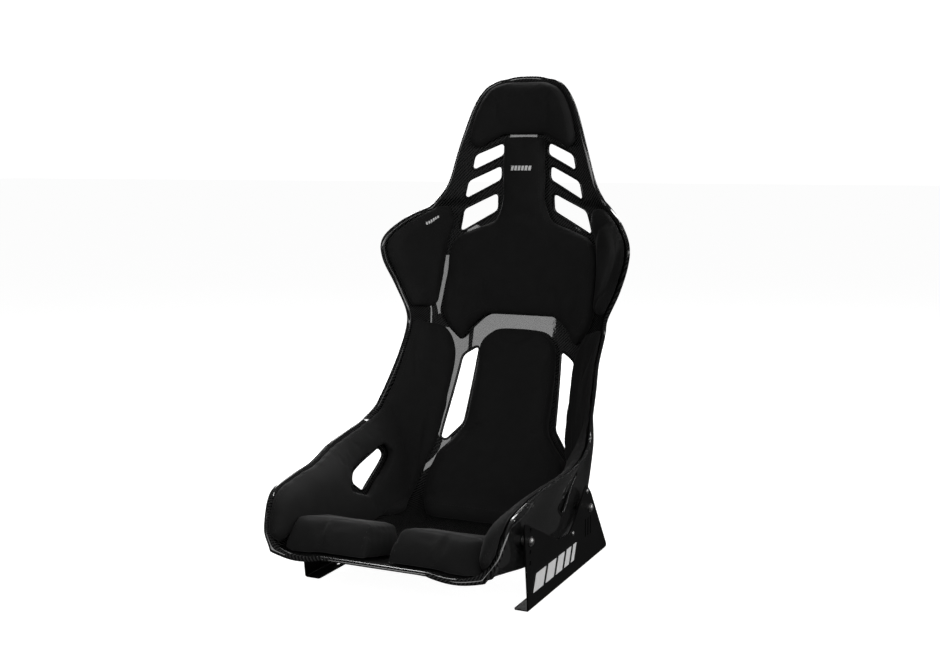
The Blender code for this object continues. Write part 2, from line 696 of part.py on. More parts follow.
def corner_cutter(name, side):
    """Cutter that rounds the foot flange's front inner corner."""
    corner_x = PLATE_OUTER_X - FOOT_WIDTH
    corner_y = PLATE_OUTLINE[0][0]
    edge = [(side * (corner_x - CUT_OVERRUN), corner_y - CUT_OVERRUN)]
    edge.append((side * (corner_x + FOOT_CORNER_RADIUS), corner_y - CUT_OVERRUN))
    for k in range(1, BEND_STEPS):
        turn = math.radians(270 - 90 * k / BEND_STEPS)
        x = corner_x + FOOT_CORNER_RADIUS * (1 + math.cos(turn))
        edge.append((side * x, corner_y + FOOT_CORNER_RADIUS * (1 + math.sin(turn))))
    edge.append((side * (corner_x - CUT_OVERRUN), corner_y + FOOT_CORNER_RADIUS))
    return prism(name, edge, "Z", -CUT_OVERRUN, PLATE_THICK + CUT_OVERRUN)


def build_bracket(label, side):
    """A bent steel side bracket with its holes and slots."""
    name = f"side_bracket_{label}"
    section = bracket_section(side)
    bracket = prism(name, section, "Y", -BRACKET_REACH_Y, BRACKET_REACH_Y, "bracket")
    near = side * (PLATE_OUTER_X - FOOT_WIDTH - CUT_OVERRUN)
    far = side * (PLATE_OUTER_X + CUT_OVERRUN)
    outline = rounded(PLATE_OUTLINE, OUTLINE_CORNER_RADIUS)
    cut(bracket, prism(f"{name}_outline", outline, "X", near, far), "INTERSECT")
    cut(bracket, corner_cutter(f"{name}_corner", side))
    x = side * (PLATE_OUTER_X - PLATE_THICK / 2)
    holes = [(HOLE_COLUMN_Y, z, HOLE_RADIUS) for z in HOLE_COLUMN_Z]
    holes += [(y, z, BOLT_BORE_RADIUS) for y, z in MOUNT_POINTS.values()]
    holes += [(y, z, SCREW_SHANK_RADIUS + GAP) for y, z in SCREW_POINTS.values()]
    reach = PLATE_THICK + 2 * CUT_OVERRUN
    for number, (y, z, radius) in enumerate(holes, start=1):
        cut(bracket, rod(f"{name}_hole_{number}", Vector((x, y, z)), "X", radius, reach))
    for number, y in enumerate(TILT_SLOT_Y, start=1):
        outline = stadium((y, TILT_SLOT_Z), TILT_SLOT_LENGTH, TILT_SLOT_RADIUS)
        cut(bracket, prism(f"{name}_tilt_slot_{number}", outline, "X", near, far))
    foot_x = side * (PLATE_OUTER_X - FOOT_SLOT_INSET)
    for number, y in enumerate(FOOT_SLOT_Y, start=1):
        outline = stadium((foot_x, y), FOOT_SLOT_LENGTH, FOOT_SLOT_RADIUS)
        end = PLATE_THICK + CUT_OVERRUN
        cut(bracket, prism(f"{name}_foot_slot_{number}", outline, "Z", -CUT_OVERRUN, end))
    return bracket


def dome(start, height, radius):
    """Profile points of a domed head, from its rim to its crown."""
    points = [(start, radius), (start + DOME_SIDE * height, radius)]
    for k in range(1, DOME_STEPS + 1):
        turn = DOME_TURN * k / DOME_STEPS
        rise = DOME_SIDE + (1.0 - DOME_SIDE) * math.sin(turn) / math.sin(DOME_TURN)
        points.append((start + rise * height, radius * math.cos(turn)))
    return points


def build_fasteners(label, side):
    """Bolts, washers, spacers and inserts at both mounting points, and the two small screws."""
    outer = PLATE_OUTER_X + GAP
    for place, (y, z) in MOUNT_POINTS.items():
        wall = wall_x(y, z)
        low, high = wall_span(y, z, INSERT_FLANGE_RADIUS)
        at = Vector((side * wall, y, z))
        face = high - wall + SHELL_THICK / 2 + WALL_SLACK
        inner_face = wall - low + SHELL_THICK / 2 + WALL_SLACK
        plate_inner = PLATE_OUTER_X - PLATE_THICK - GAP - wall
        washer = outer - wall
        head = washer + WASHER_THICK + GAP
        flange = -inner_face - INSERT_FLANGE_THICK
        ends = f"{place}_{label}"
        shank = [(BOLT_TIP_X, BOLT_RADIUS), (head, BOLT_RADIUS)]
        profile = shank + dome(head, BOLT_HEAD_HEIGHT, BOLT_HEAD_RADIUS)
        turned(f"mount_bolt_{ends}", profile, at, side, "steel")
        ring = [(washer, WASHER_RADIUS), (washer + WASHER_THICK, WASHER_RADIUS)]
        turned(f"washer_{ends}", ring, at, side, "steel", BOLT_BORE_RADIUS)
        sleeve = [(face, SPACER_RADIUS), (plate_inner, SPACER_RADIUS)]
        turned(f"spacer_{ends}", sleeve, at, side, "steel", BOLT_BORE_RADIUS)
        tee = [(flange, INSERT_FLANGE_RADIUS), (-inner_face, INSERT_FLANGE_RADIUS)]
        tee += [(-inner_face, INSERT_BARREL_RADIUS), (face - GAP, INSERT_BARREL_RADIUS)]
        turned(f"shell_insert_{ends}", tee, at, side, "steel", BOLT_BORE_RADIUS)
        bore = INSERT_BARREL_RADIUS + GAP
        reach = SHELL_THICK + 2 * INSERT_CUT_REACH
        cut(bpy.data.objects["seat_shell"], rod(f"insert_cutter_{ends}", at, "X", bore, reach))
    for place, (y, z) in SCREW_POINTS.items():
        at = Vector((side * outer, y, z))
        profile = [(-SCREW_LENGTH, SCREW_SHANK_RADIUS), (0.0, SCREW_SHANK_RADIUS)]
        profile += dome(0.0, SCREW_HEAD_HEIGHT, SCREW_HEAD_RADIUS)
        turned(f"bracket_screw_{place}_{label}", profile, at, side, "steel")
    for number, (start, end) in enumerate(BAR_SPANS, start=1):
        low, high = BAR_Z
        outline = ((start, low), (start + BAR_SLANT, high), (end + BAR_SLANT, high), (end, low))
        name = f"bracket_bar_{number}_{label}"
        prism(name, outline, "X", side * outer, side * (outer + BAR_THICK), "tag")


# ---------------------------------------------------------------- the seat

SHELL = build_shell()
for opening in opening_cutters():
    cut(SHELL, opening)
PADS = build_pads()
PAD_HOLE = rounded(LAP_OPENING_IN_PAD, SLOT_CORNER_RADIUS)
PAD_OPENING = mirrored(prism("pad_opening_cutter", PAD_HOLE, "X", *PAD_CUT_X))
for side_name, _ in SIDES:
    cut(PADS[f"side_bolster_pad_{side_name}"], PAD_OPENING)
for pad in PADS.values():
    bevel = pad.modifiers.new("soft_edges", "BEVEL")
    bevel.width = PAD_EDGE_ROUND
    bevel.segments = 1
    bevel.limit_method = "ANGLE"
    bevel.angle_limit = math.radians(60)
build_tapes()
build_tags()
for side_name, side_sign in SIDES:
    build_bracket(side_name, side_sign)
    build_fasteners(side_name, side_sign)
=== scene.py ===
"""Racing bucket seat: the finished surfaces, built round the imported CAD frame.

Metres, +Z up, the seat faces -Y and "right" is the +X side.
"""

import math

import bmesh
import bpy
import numpy as np
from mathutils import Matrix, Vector
from mathutils.bvhtree import BVHTree


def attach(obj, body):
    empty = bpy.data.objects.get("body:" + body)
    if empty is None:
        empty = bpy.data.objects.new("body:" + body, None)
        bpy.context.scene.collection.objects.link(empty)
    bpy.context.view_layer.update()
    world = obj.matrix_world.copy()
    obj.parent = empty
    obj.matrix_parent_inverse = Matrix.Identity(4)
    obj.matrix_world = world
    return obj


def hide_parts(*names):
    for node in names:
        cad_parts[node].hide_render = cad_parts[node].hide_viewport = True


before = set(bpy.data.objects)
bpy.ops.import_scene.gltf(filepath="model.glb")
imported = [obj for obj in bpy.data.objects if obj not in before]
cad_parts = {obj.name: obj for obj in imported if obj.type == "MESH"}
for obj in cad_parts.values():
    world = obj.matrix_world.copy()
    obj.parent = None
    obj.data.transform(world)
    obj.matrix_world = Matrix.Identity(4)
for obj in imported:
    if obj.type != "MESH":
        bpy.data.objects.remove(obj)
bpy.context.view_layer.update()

# ---- shell surface, repeated from the part's source ----
CENTRE_SHIFT_Y = 0.0052
SHELL_THICK = 0.0036
RIM_ROLL_RADIUS = 0.0038
RIM_ROLL_STEPS = 8
RIM_ROLL_DEG = 105.0
# Each station: centre line (y, z), rim (x, y, z), kind of cross-section.
STATIONS = (
    ((-0.352, 0.100), (0.209, -0.352, 0.101), "lip"),
    ((-0.335, 0.098), (0.228, -0.336, 0.136), "floor"),
    ((-0.300, 0.090), (0.236, -0.302, 0.188), "floor"),
    ((-0.235, 0.076), (0.238, -0.235, 0.205), "floor"),
    ((-0.160, 0.062), (0.240, -0.165, 0.213), "floor"),
    ((-0.075, 0.051), (0.257, -0.073, 0.227), "flank"),
    ((0.000, 0.047), (0.258, -0.010, 0.238), "flank"),
    ((0.075, 0.050), (0.250, 0.052, 0.254), "seat"),
    ((0.135, 0.066), (0.238, 0.094, 0.276), "mount"),
    ((0.188, 0.105), (0.233, 0.116, 0.299), "hip"),
    ((0.235, 0.185), (0.226, 0.151, 0.345), "back"),
    ((0.283, 0.300), (0.2205, 0.180, 0.389), "back"),
    ((0.315, 0.400), (0.2205, 0.215, 0.440), "back"),
    ((0.328, 0.470), (0.2245, 0.219, 0.478), "back"),
    ((0.335, 0.535), (0.2495, 0.216, 0.533), "back"),
    ((0.340, 0.590), (0.2715, 0.201, 0.590), "back"),
    ((0.342, 0.635), (0.2715, 0.206, 0.630), "back"),
    ((0.342, 0.670), (0.241, 0.248, 0.668), "back"),
    ((0.342, 0.697), (0.203, 0.294, 0.695), "neck"),
    ((0.342, 0.720), (0.183, 0.300, 0.716), "head"),
    ((0.342, 0.751), (0.163, 0.307, 0.751), "head"),
    ((0.343, 0.820), (0.142, 0.311, 0.820), "head"),
    ((0.345, 0.885), (0.121, 0.319, 0.885), "head"),
    ((0.346, 0.925), (0.105, 0.324, 0.922), "head"),
    ((0.345, 0.948), (0.087, 0.329, 0.947), "head"),
    ((0.343, 0.962), (0.068, 0.335, 0.960), "head"),
    ((0.341, 0.970), (0.045, 0.340, 0.968), "head"),
)
LAST = len(STATIONS) - 1
# Step in stations over which a normal is taken.
NORMAL_STEP = 0.02
# Inner control points of a cross-section: (x, share of the way from centre line to rim).
SECTIONS = {
    "lip": ((0.100, 0.00), (0.150, 0.25), (0.190, 0.70)),
    "floor": ((0.178, 0.01), (0.2130, 0.14), (0.2165, 0.64)),
    "flank": ((0.178, 0.01), (0.2120, 0.13), (0.2230, 0.58)),
    "seat": ((0.165, 0.015), (0.2105, 0.18), (0.2165, 0.66)),
    "mount": ((0.165, 0.015), (0.2095, 0.13), (0.2180, 0.62)),
    "hip": ((0.135, 0.03), (0.195, 0.15), (0.2260, 0.60)),
}
# The same, with x as a share of the rim's x.
SHARED_SECTIONS = {
    "back": ((0.42, 0.03), (0.64, 0.12), (0.88, 0.48)),
    "neck": ((0.40, 0.05), (0.65, 0.20), (0.86, 0.52)),
    "head": ((0.37, 0.08), (0.65, 0.34), (0.85, 0.66)),
}
LIP_DIPS = (0.007, 0.004, 0.002)
# Spans of a cross-section's curve from centre line to rim.
SPANS = 4

# ---- openings: belt and lumbar slots (x, z), lap-belt opening (y, z) ----
BELT_SLOTS = (
    ((0.053, 0.834), (0.052, 0.810), (0.119, 0.777), (0.113, 0.808)),
    ((0.058, 0.785), (0.058, 0.757), (0.136, 0.715), (0.128, 0.752)),
    ((0.066, 0.726), (0.067, 0.690), (0.153, 0.642), (0.142, 0.690)),
)
LUMBAR_SLOT = ((0.098, 0.390), (0.108, 0.230), (0.139, 0.196), (0.147, 0.200), (0.129, 0.370))
LAP_OPENING = ((0.066, 0.200), (0.078, 0.185), (-0.006, 0.126), (-0.040, 0.150), (-0.028, 0.166))
LAP_OPENING_IN_PAD = ((0.070, 0.212), (0.092, 0.186), (-0.006, 0.116), (-0.084, 0.146), (-0.068, 0.176))
SLOT_CORNER_RADIUS = 0.009
SLOT_POINT_SPACING = 0.003
SLOT_BEAD = 0.0031
SLOT_BEAD_SIDES = 12
# How far the cutters reach, and where the lines start that carry an outline onto the side wall.
SLOT_CUT_Y = (0.12, 0.45)
LAP_CUT_X = (0.15, 0.31)
LAP_CUT_X_IN_PAD = (0.10, 0.30)
LAP_LINE_START_X = 0.10
PAD_OPENING_CORNER_RADIUS = 0.010
PAD_OPENING_POINT_SPACING = 0.004

# ---- pads: rows of (station, half share, bow) or (station, inner share, outer share) ----
PAD_STANDOFF = 0.0060
# Across a centred pad the bow is whole up to BOW_FLAT of the half width, and gone at BOW_END.
BOW_FLAT = 0.40
BOW_END = 0.95
# A paired pad thins out towards the rim from this share of its width.
TAPER_START = 0.55
HEAD_ROWS = (
    (21.02, 0.66, 0.44), (21.20, 0.84, 0.36), (21.80, 0.91, 0.12), (22.90, 0.925, 0.0),
    (23.70, 0.92, 0.0), (24.40, 0.91, 0.0), (25.00, 0.86, 0.0), (25.45, 0.68, 0.0),
)
BACK_ROWS = (
    (11.98, 0.50, 0.90), (12.40, 0.61, 0.55), (12.95, 0.655, 0.18), (13.60, 0.605, 0.0),
    (14.40, 0.535, 0.0), (15.32, 0.485, 0.0), (15.84, 0.415, 0.0), (16.22, 0.300, 0.0),
    (16.58, 0.205, 0.0), (17.00, 0.145, 0.0), (18.00, 0.148, 0.0), (19.00, 0.164, 0.0),
    (20.00, 0.190, 0.0), (21.38, 0.225, 0.0),
)
LUMBAR_ROWS = (
    (7.30, 0.145, 0.0), (7.45, 0.175, 0.0), (8.10, 0.218, 0.0), (8.90, 0.315, 0.0), (9.55, 0.44, 0.0),
    (9.78, 0.44, 0.0), (10.05, 0.35, 0.0), (10.30, 0.270, 0.0), (10.70, 0.254, 0.0),
    (11.20, 0.247, 0.0), (11.80, 0.236, 0.0), (12.10, 0.202, 0.0), (12.40, 0.126, 0.0),
)
WING_ROWS = (
    (13.05, 0.725, 0.985), (13.60, 0.650, 0.985), (14.20, 0.590, 0.985), (15.00, 0.535, 0.985),
    (16.00, 0.510, 0.985), (16.80, 0.530, 0.985), (17.40, 0.610, 0.980), (17.95, 0.720, 0.970),
    (18.35, 0.830, 0.955),
)
BOLSTER_ROWS = (
    (0.62, 0.62, 0.975), (2.50, 0.57, 0.985), (4.00, 0.54, 0.985), (5.20, 0.49, 0.985),
    (6.20, 0.41, 0.985), (7.10, 0.28, 0.985), (8.00, 0.30, 0.985), (8.90, 0.39, 0.985),
    (9.90, 0.54, 0.985), (10.60, 0.55, 0.990), (11.50, 0.53, 0.990), (12.00, 0.58, 0.990),
    (12.38, 0.67, 0.990),
)
THIGH_ROWS = ((0.55, 0.034, 0.285), (1.40, 0.034, 0.285), (2.30, 0.034, 0.285), (3.30, 0.034, 0.285))


# ---------------------------------------------------------------- shell surface


def station_row(index):
    """One station as numbers to interpolate: centre line, rim, three control points, dip."""
    centre, rim, kind = STATIONS[index]
    if kind in SECTIONS:
        controls = SECTIONS[kind]
    else:
        controls = [(share * rim[0], g) for share, g in SHARED_SECTIONS[kind]]
    dip = LIP_DIPS[index] if index < len(LIP_DIPS) else 0.0
    numbers = [n for pair in controls for n in pair]
    return np.array([*centre, *rim, *numbers, dip])


ROWS = np.array([station_row(index) for index in range(LAST + 1)])


def catmull(p0, p1, p2, p3, f):
    """Smooth curve from p1 (f = 0) to p2 (f = 1)."""
    linear = (p2 - p0) * f
    square = (2 * p0 - 5 * p1 + 4 * p2 - p3) * f**2
    cube = (3 * p1 - p0 - 3 * p2 + p3) * f**3
    return 0.5 * (2 * p1 + linear + square + cube)


def along(table, t):
    """Smooth interpolation of a table's rows at positions t, counted in rows."""
    t = np.clip(t, 0.0, len(table) - 1.0)
    i = np.minimum(t.astype(int), len(table) - 2)
    ends = np.vstack([2 * table[0] - table[1], table, 2 * table[-1] - table[-2]])
    return catmull(*(ends[i + k] for k in range(4)), (t - i)[..., None])


def surface(s, v):
    """Points of the shell's middle surface: s counts stations, v runs from -1 to 1 across."""
    s, v = np.broadcast_arrays(np.asarray(s, float), np.asarray(v, float))
    row = along(ROWS, s)
    inner = row[..., 5:11].reshape(*s.shape, 3, 2)
    rim = np.stack([row[..., 2], np.ones(s.shape)], axis=-1)[..., None, :]
    mirror = inner[..., :1, :] * np.array([-1.0, 1.0])
    beyond = 2 * rim - inner[..., 2:3, :]
    controls = np.concatenate([mirror, np.zeros_like(rim), inner, rim, beyond], axis=-2)
    seg = np.abs(v) * SPANS
    i = np.minimum(seg.astype(int), SPANS - 1)
    picked = []
    for k in range(4):
        index = np.broadcast_to((i + k)[..., None, None], (*s.shape, 1, 2))
        picked.append(np.take_along_axis(controls, index, axis=-2)[..., 0, :])
    flat = catmull(*picked, (seg - i)[..., None])
    x, g = flat[..., 0], flat[..., 1]
    outboard = np.clip(2 * x / row[..., 2] - 1, 0, 1)
    y = row[..., 0] + g * (row[..., 3] - row[..., 0]) + CENTRE_SHIFT_Y
    z = row[..., 1] + g * (row[..., 4] - row[..., 1]) - row[..., 11] * np.sin(math.pi * outboard)
    return np.stack([np.copysign(x, v), y, z], axis=-1)


def normals(s, v):
    """Unit normals of the shell, towards the sitter."""
    h = NORMAL_STEP
    s, v = np.broadcast_arrays(np.asarray(s, float), np.asarray(v, float))
    down = surface(np.minimum(s + h, LAST), v) - surface(np.maximum(s - h, 0), v)
    across = surface(s, np.minimum(v + h, 1)) - surface(s, np.maximum(v - h, -1))
    n = np.cross(across, down)
    return n / np.linalg.norm(n, axis=-1, keepdims=True)


def skin(s, v, height):
    """Points that stand off the shell's middle surface by height."""
    return surface(s, v) + np.asarray(height)[..., None] * normals(s, v)


# ---------------------------------------------------------------- mesh helpers

# A rounded corner's steps, and the most it takes of each side next to it.
CORNER_STEPS = 6
CORNER_SIDE_SHARE = 0.45
# A tube that sets off steeper than this has its first ring turned from the Y axis.
STEEP = 0.8
LEAST_POINTS = 8


def link(name, bm, material, smooth=True):
    """An object from a bmesh."""
    mesh = bpy.data.meshes.new(name)
    bm.to_mesh(mesh)
    bm.free()
    obj = bpy.data.objects.new(name, mesh)
    bpy.context.scene.collection.objects.link(obj)
    if material is not None:
        mesh.materials.append(material)
    if smooth:
        mesh.shade_smooth()
    return obj


def bake(obj):
    """Applies all of an object's modifiers."""
    bpy.context.view_layer.update()
    graph = bpy.context.evaluated_depsgraph_get()
    mesh = bpy.data.meshes.new_from_object(obj.evaluated_get(graph))
    obj.modifiers.clear()
    obj.data = mesh
    return obj


def rounded(outline, radius):
    """A closed 2D outline with its corners rounded."""
    points = []
    count = len(outline)
    for i in range(count):
        corner = Vector(outline[i])
        back = Vector(outline[i - 1]) - corner
        ahead = Vector(outline[(i + 1) % count]) - corner
        reach = min(radius, CORNER_SIDE_SHARE * back.length, CORNER_SIDE_SHARE * ahead.length)
        start = corner + back.normalized() * reach
        end = corner + ahead.normalized() * reach
        for k in range(CORNER_STEPS + 1):
            t = k / CORNER_STEPS
            points.append((1 - t) ** 2 * start + 2 * t * (1 - t) * corner + t * t * end)
    return points


def reach_along(points):
    """The length of a line from its start up to each of its points."""
    steps = np.linalg.norm(np.diff(points, axis=0), axis=1)
    return np.concatenate([[0.0], np.cumsum(steps)])


def resample(points, spacing):
    """A closed line's points at even spacing, as an array."""
    loop = np.array([tuple(p) for p in points])
    loop = np.vstack([loop, loop[:1]])
    reach = reach_along(loop)
    count = max(LEAST_POINTS, round(reach[-1] / spacing))
    places = np.arange(count) * reach[-1] / count
    return np.stack([np.interp(places, reach, loop[:, k]) for k in range(loop.shape[1])], axis=-1)


def widened(loop, distance):
    """A closed 2D line moved outwards by distance."""
    ahead = np.roll(loop, -1, axis=0) - np.roll(loop, 1, axis=0)
    out = np.stack([ahead[:, 1], -ahead[:, 0]], axis=-1)
    out /= np.linalg.norm(out, axis=1, keepdims=True)
    area = np.sum(loop[:, 0] * np.roll(loop[:, 1], -1) - loop[:, 1] * np.roll(loop[:, 0], -1))
    return loop + out * math.copysign(distance, area)


def add_sheet(bm, sheet):
    """Fills a grid of vertices with four-sided faces."""
    for low, high in zip(sheet, sheet[1:]):
        for corners in zip(low, low[1:], high[1:], high):
            bm.faces.new(corners)


def add_band(bm, one, two):
    """Joins two closed rings of vertices with a band of faces."""
    count = len(one)
    for i in range(count):
        k = (i + 1) % count
        bm.faces.new((one[i], one[k], two[k], two[i]))


def border(sheet):
    """The border of a grid of items, once round."""
    right = [row[-1] for row in sheet[1:-1]]
    left = [row[0] for row in sheet[1:-1]]
    return list(sheet[0]) + right + list(sheet[-1])[::-1] + left[::-1]


def tube(bm, loop, radius, sides, closed=True):
    """Adds a round tube along a line of points to a bmesh."""
    loop = np.asarray(loop)
    if closed:
        ahead = np.roll(loop, -1, axis=0) - np.roll(loop, 1, axis=0)
    else:
        ahead = np.gradient(loop, axis=0)
    ahead /= np.linalg.norm(ahead, axis=1, keepdims=True)
    up = np.array([0.0, 0.0, 1.0]) if abs(ahead[0][2]) < STEEP else np.array([0.0, 1.0, 0.0])
    rings = []
    for place, way in zip(loop, ahead):
        up = up - way * np.dot(up, way)
        up /= np.linalg.norm(up)
        side = np.cross(way, up)
        turns = [math.tau * k / sides for k in range(sides)]
        rings.append([bm.verts.new(place + radius * (math.cos(a) * up + math.sin(a) * side)) for a in turns])
    pairs = list(zip(rings, rings[1:]))
    if closed:
        first, last = rings[0], rings[-1]
        shift = min(range(sides), key=lambda k: (first[k].co - last[0].co).length)
        pairs.append((last, first[shift:] + first[:shift]))
    for near, far in pairs:
        add_band(bm, near, far)
    if not closed:
        bm.faces.new(rings[0][::-1])
        bm.faces.new(rings[-1])


def prism(name, loop, axis, start, end):
    """A hidden cutter: a 2D outline in the plane across an axis."""
    bm = bmesh.new()
    ends = []
    for place in (start, end):
        points = [(place, *p) if axis == "X" else (p[0], place, p[1]) for p in loop]
        ends.append([bm.verts.new(p) for p in points])
    add_band(bm, *ends)
    bm.faces.new(ends[0][::-1])
    bm.faces.new(ends[1])
    bmesh.ops.recalc_face_normals(bm, faces=bm.faces)
    cutter = link(name, bm, None, smooth=False)
    cutter.hide_render = True
    return cutter


def subtract(obj, cutters):
    """Cuts the cutters out of an object and removes them."""
    for cutter in cutters:
        modifier = obj.modifiers.new(cutter.name, "BOOLEAN")
        modifier.operation = "DIFFERENCE"
        modifier.solver = "EXACT"
        modifier.object = cutter
    bake(obj)
    for cutter in cutters:
        bpy.data.objects.remove(cutter, do_unlink=True)


# ---------------------------------------------------------------- materials


class Paint:
    """A material's nodes: add() makes a node and sets or links its inputs."""

    def __init__(self, name):
        self.material = bpy.data.materials.new(name)
        self.material.use_nodes = True
        self.tree = self.material.node_tree
        self.shader = self.tree.nodes["Principled BSDF"]

    def add(self, kind, inputs=None, **settings):
        node = self.tree.nodes.new("ShaderNode" + kind)
        for key, value in settings.items():
            setattr(node, key, value)
        self.fill(node, inputs or {})
        return node

    def fill(self, node, inputs):
        for key, value in inputs.items():
            socket = node.inputs[key]
            if isinstance(value, bpy.types.NodeSocket):
                self.tree.links.new(value, socket)
            else:
                socket.default_value = value

    def sum(self, operation, a, b=0.0, c=0.0):
        node = self.add("Math", {0: a, 1: b, 2: c}, operation=operation)
        return node.outputs[0]

    def spread(self, value, span, low):
        """A value from 0 to 1 spread over a span that starts at low."""
        return self.sum("MULTIPLY_ADD", value, span, low)

    def blend(self, factor, a, b):
        """A colour between a and b; sockets 6 and 7 and output 2 carry colours."""
        node = self.add("Mix", {0: factor, 6: a, 7: b}, data_type="RGBA")
        return node.outputs[2]

    def noise(self, scale, detail, vector):
        inputs = {"Scale": scale, "Detail": detail, "Vector": vector}
        return self.add("TexNoise", inputs).outputs["Fac"]

    def bump(self, height, strength, distance):
        inputs = {"Height": height, "Strength": strength, "Distance": distance}
        return self.add("Bump", inputs).outputs["Normal"]

    def place(self):
        return self.add("TexCoord").outputs["Object"]

    def scaled(self, vector, factors):
        """A vector with each part multiplied by its own factor."""
        return self.add("VectorMath", {0: vector, 1: factors}, operation="MULTIPLY").outputs[0]

    def finish(self, **inputs):
        self.fill(self.shader, {key.replace("_", " "): value for key, value in inputs.items()})
        return self.material


def grey(value, warm=0.0):
    """A grey as a colour, with a share of warmth."""
    return (value * (1 + warm), value, value * (1 - warm), 1.0)


# Width of one carbon tow, and how many tows a twill's pattern takes to repeat.
TOW = 0.0018
TWILL_REPEAT = 4.0
TWILL_OVER = 1.5
# A multiple of the repeat that keeps the tow count positive.
TWILL_OFFSET = 4000.0
FIBRES_PER_METRE = 9000.0
FIBRE_BREAKS_PER_METRE = 500.0
TURNING_MARKS = (2500.0, 160.0, 160.0)
# A label's bars: how many, their slant, the part of each turn that is white, half their height.
LABEL_BARS = 6.0
LABEL_SLANT = 0.05
LABEL_BAR_PART = (0.06, 0.78)
LABEL_BAR_HALF_HEIGHT = 0.42
LABEL_RIBS = (500.0, 500.0, 4000.0)


def carbon_paint():
    """Clear-coated 2 x 2 twill carbon laminate, with the tows' directional sheen painted into the colour."""
    p = Paint("carbon_twill")
    uv = p.add("UVMap", uv_map="weave").outputs["UV"]
    split = p.add("SeparateXYZ", {"Vector": uv})
    u = p.sum("DIVIDE", split.outputs["X"], TOW)
    v = p.sum("DIVIDE", split.outputs["Y"], TOW)
    step = p.sum("SUBTRACT", p.sum("FLOOR", u), p.sum("FLOOR", v))
    turn = p.sum("MODULO", p.sum("ADD", step, TWILL_OFFSET), TWILL_REPEAT)
    over = p.sum("LESS_THAN", turn, TWILL_OVER)
    crowns = []
    for c in (u, v):
        offset = p.sum("SUBTRACT", p.sum("FRACT", c), 0.5)
        square = p.sum("MULTIPLY", offset, offset)
        crowns.append(p.sum("SUBTRACT", 1.0, p.sum("MULTIPLY", square, 4.0)))
    # Sockets 2 and 3 carry plain values.
    mix = p.add("Mix", {0: over, 2: crowns[1], 3: crowns[0]})
    lines_u = p.scaled(uv, (FIBRES_PER_METRE, FIBRE_BREAKS_PER_METRE, 1.0))
    lines_v = p.scaled(uv, (FIBRE_BREAKS_PER_METRE, FIBRES_PER_METRE, 1.0))
    fibre_u = p.noise(scale=1.0, detail=1.0, vector=lines_u)
    fibre_v = p.noise(scale=1.0, detail=1.0, vector=lines_v)
    fibres = p.add("Mix", {0: over, 2: fibre_v, 3: fibre_u})
    height = p.sum("ADD", mix.outputs[0], p.sum("MULTIPLY", fibres.outputs[0], 0.35))
    # Painted sheen: tows running one way are painted much lighter than the tows across them, standing in for
    # the fibres' directional reflection. The streaks along the fibres are partly real texture and partly
    # painted glints.
    sheen_lit_tows = p.blend(fibres.outputs[0], grey(0.008), grey(0.040))
    sheen_shaded_tows = p.blend(fibres.outputs[0], grey(0.0006), grey(0.002))
    colour = p.blend(over, sheen_shaded_tows, sheen_lit_tows)
    cloudy = p.noise(scale=14.0, detail=3.0, vector=p.place())
    rough = p.spread(cloudy, span=0.10, low=0.26)
    normal = p.bump(height, strength=0.35, distance=0.0005)
    orange_peel = p.bump(p.noise(scale=160.0, detail=2.0, vector=p.place()), strength=0.04, distance=0.001)
    return p.finish(
        Base_Color=colour, Roughness=rough, Normal=normal, Coat_Normal=orange_peel,
        Coat_Weight=1.0, Coat_Roughness=0.03, Coat_IOR=1.5, Specular_IOR_Level=0.05,
    )


def fabric_paint():
    """Matte black woven cover with a soft nap."""
    p = Paint("black_cover_fabric")
    place = p.place()
    nap = p.noise(scale=900.0, detail=3.0, vector=place)
    brushed = p.noise(scale=38.0, detail=4.0, vector=place)
    cells = p.add("TexVoronoi", {"Vector": place, "Scale": 620.0}, feature="F1")
    weave = p.sum("ADD", p.sum("MULTIPLY", cells.outputs["Distance"], -0.8), p.sum("MULTIPLY", nap, 0.5))
    shade = p.sum("MULTIPLY_ADD", brushed, 0.6, p.sum("MULTIPLY", nap, 0.4))
    colour = p.blend(shade, grey(0.0075), grey(0.0150))
    rough = p.spread(nap, span=0.15, low=0.82)
    normal = p.bump(weave, strength=0.30, distance=0.0006)
    return p.finish(
        Base_Color=colour, Roughness=rough, Normal=normal, Specular_IOR_Level=0.12,
        Sheen_Weight=0.03, Sheen_Roughness=0.45, Sheen_Tint=grey(0.8),
    )


def powder_paint():
    """Black powder coat with a fine texture and patchy tone."""
    p = Paint("black_powder_coat")
    place = p.place()
    grain = p.noise(scale=1400.0, detail=2.0, vector=place)
    patches = p.noise(scale=22.0, detail=4.0, vector=place)
    colour = p.blend(patches, grey(0.0020), grey(0.0048))
    rough = p.spread(patches, span=0.16, low=0.36)
    normal = p.bump(grain, strength=0.22, distance=0.0004)
    return p.finish(
        Base_Color=colour, Roughness=rough, Normal=normal, Metallic=0.0, Specular_IOR_Level=0.16,
    )


def steel_paint(name, low, high, roughness):
    """Zinc-plated steel with fine turning marks."""
    p = Paint(name)
    place = p.place()
    lines = p.noise(scale=1.0, detail=3.0, vector=p.scaled(place, TURNING_MARKS))
    blotch = p.noise(scale=260.0, detail=3.0, vector=place)
    colour = p.blend(blotch, grey(low, 0.01), grey(high, 0.01))
    rough = p.spread(lines, span=0.18, low=roughness)
    normal = p.bump(lines, strength=0.10, distance=0.0002)
    return p.finish(Base_Color=colour, Roughness=rough, Normal=normal, Metallic=1.0)


def tape_paint():
    """Hook-and-loop tape."""
    p = Paint("hook_and_loop_tape")
    place = p.place()
    cells = p.add("TexVoronoi", {"Vector": place, "Scale": 900.0}, feature="F1").outputs["Distance"]
    colour = p.blend(cells, grey(0.022), grey(0.006))
    return p.finish(
        Base_Color=colour, Roughness=0.9, Specular_IOR_Level=0.15,
        Normal=p.bump(cells, strength=0.7, distance=0.0008),
    )


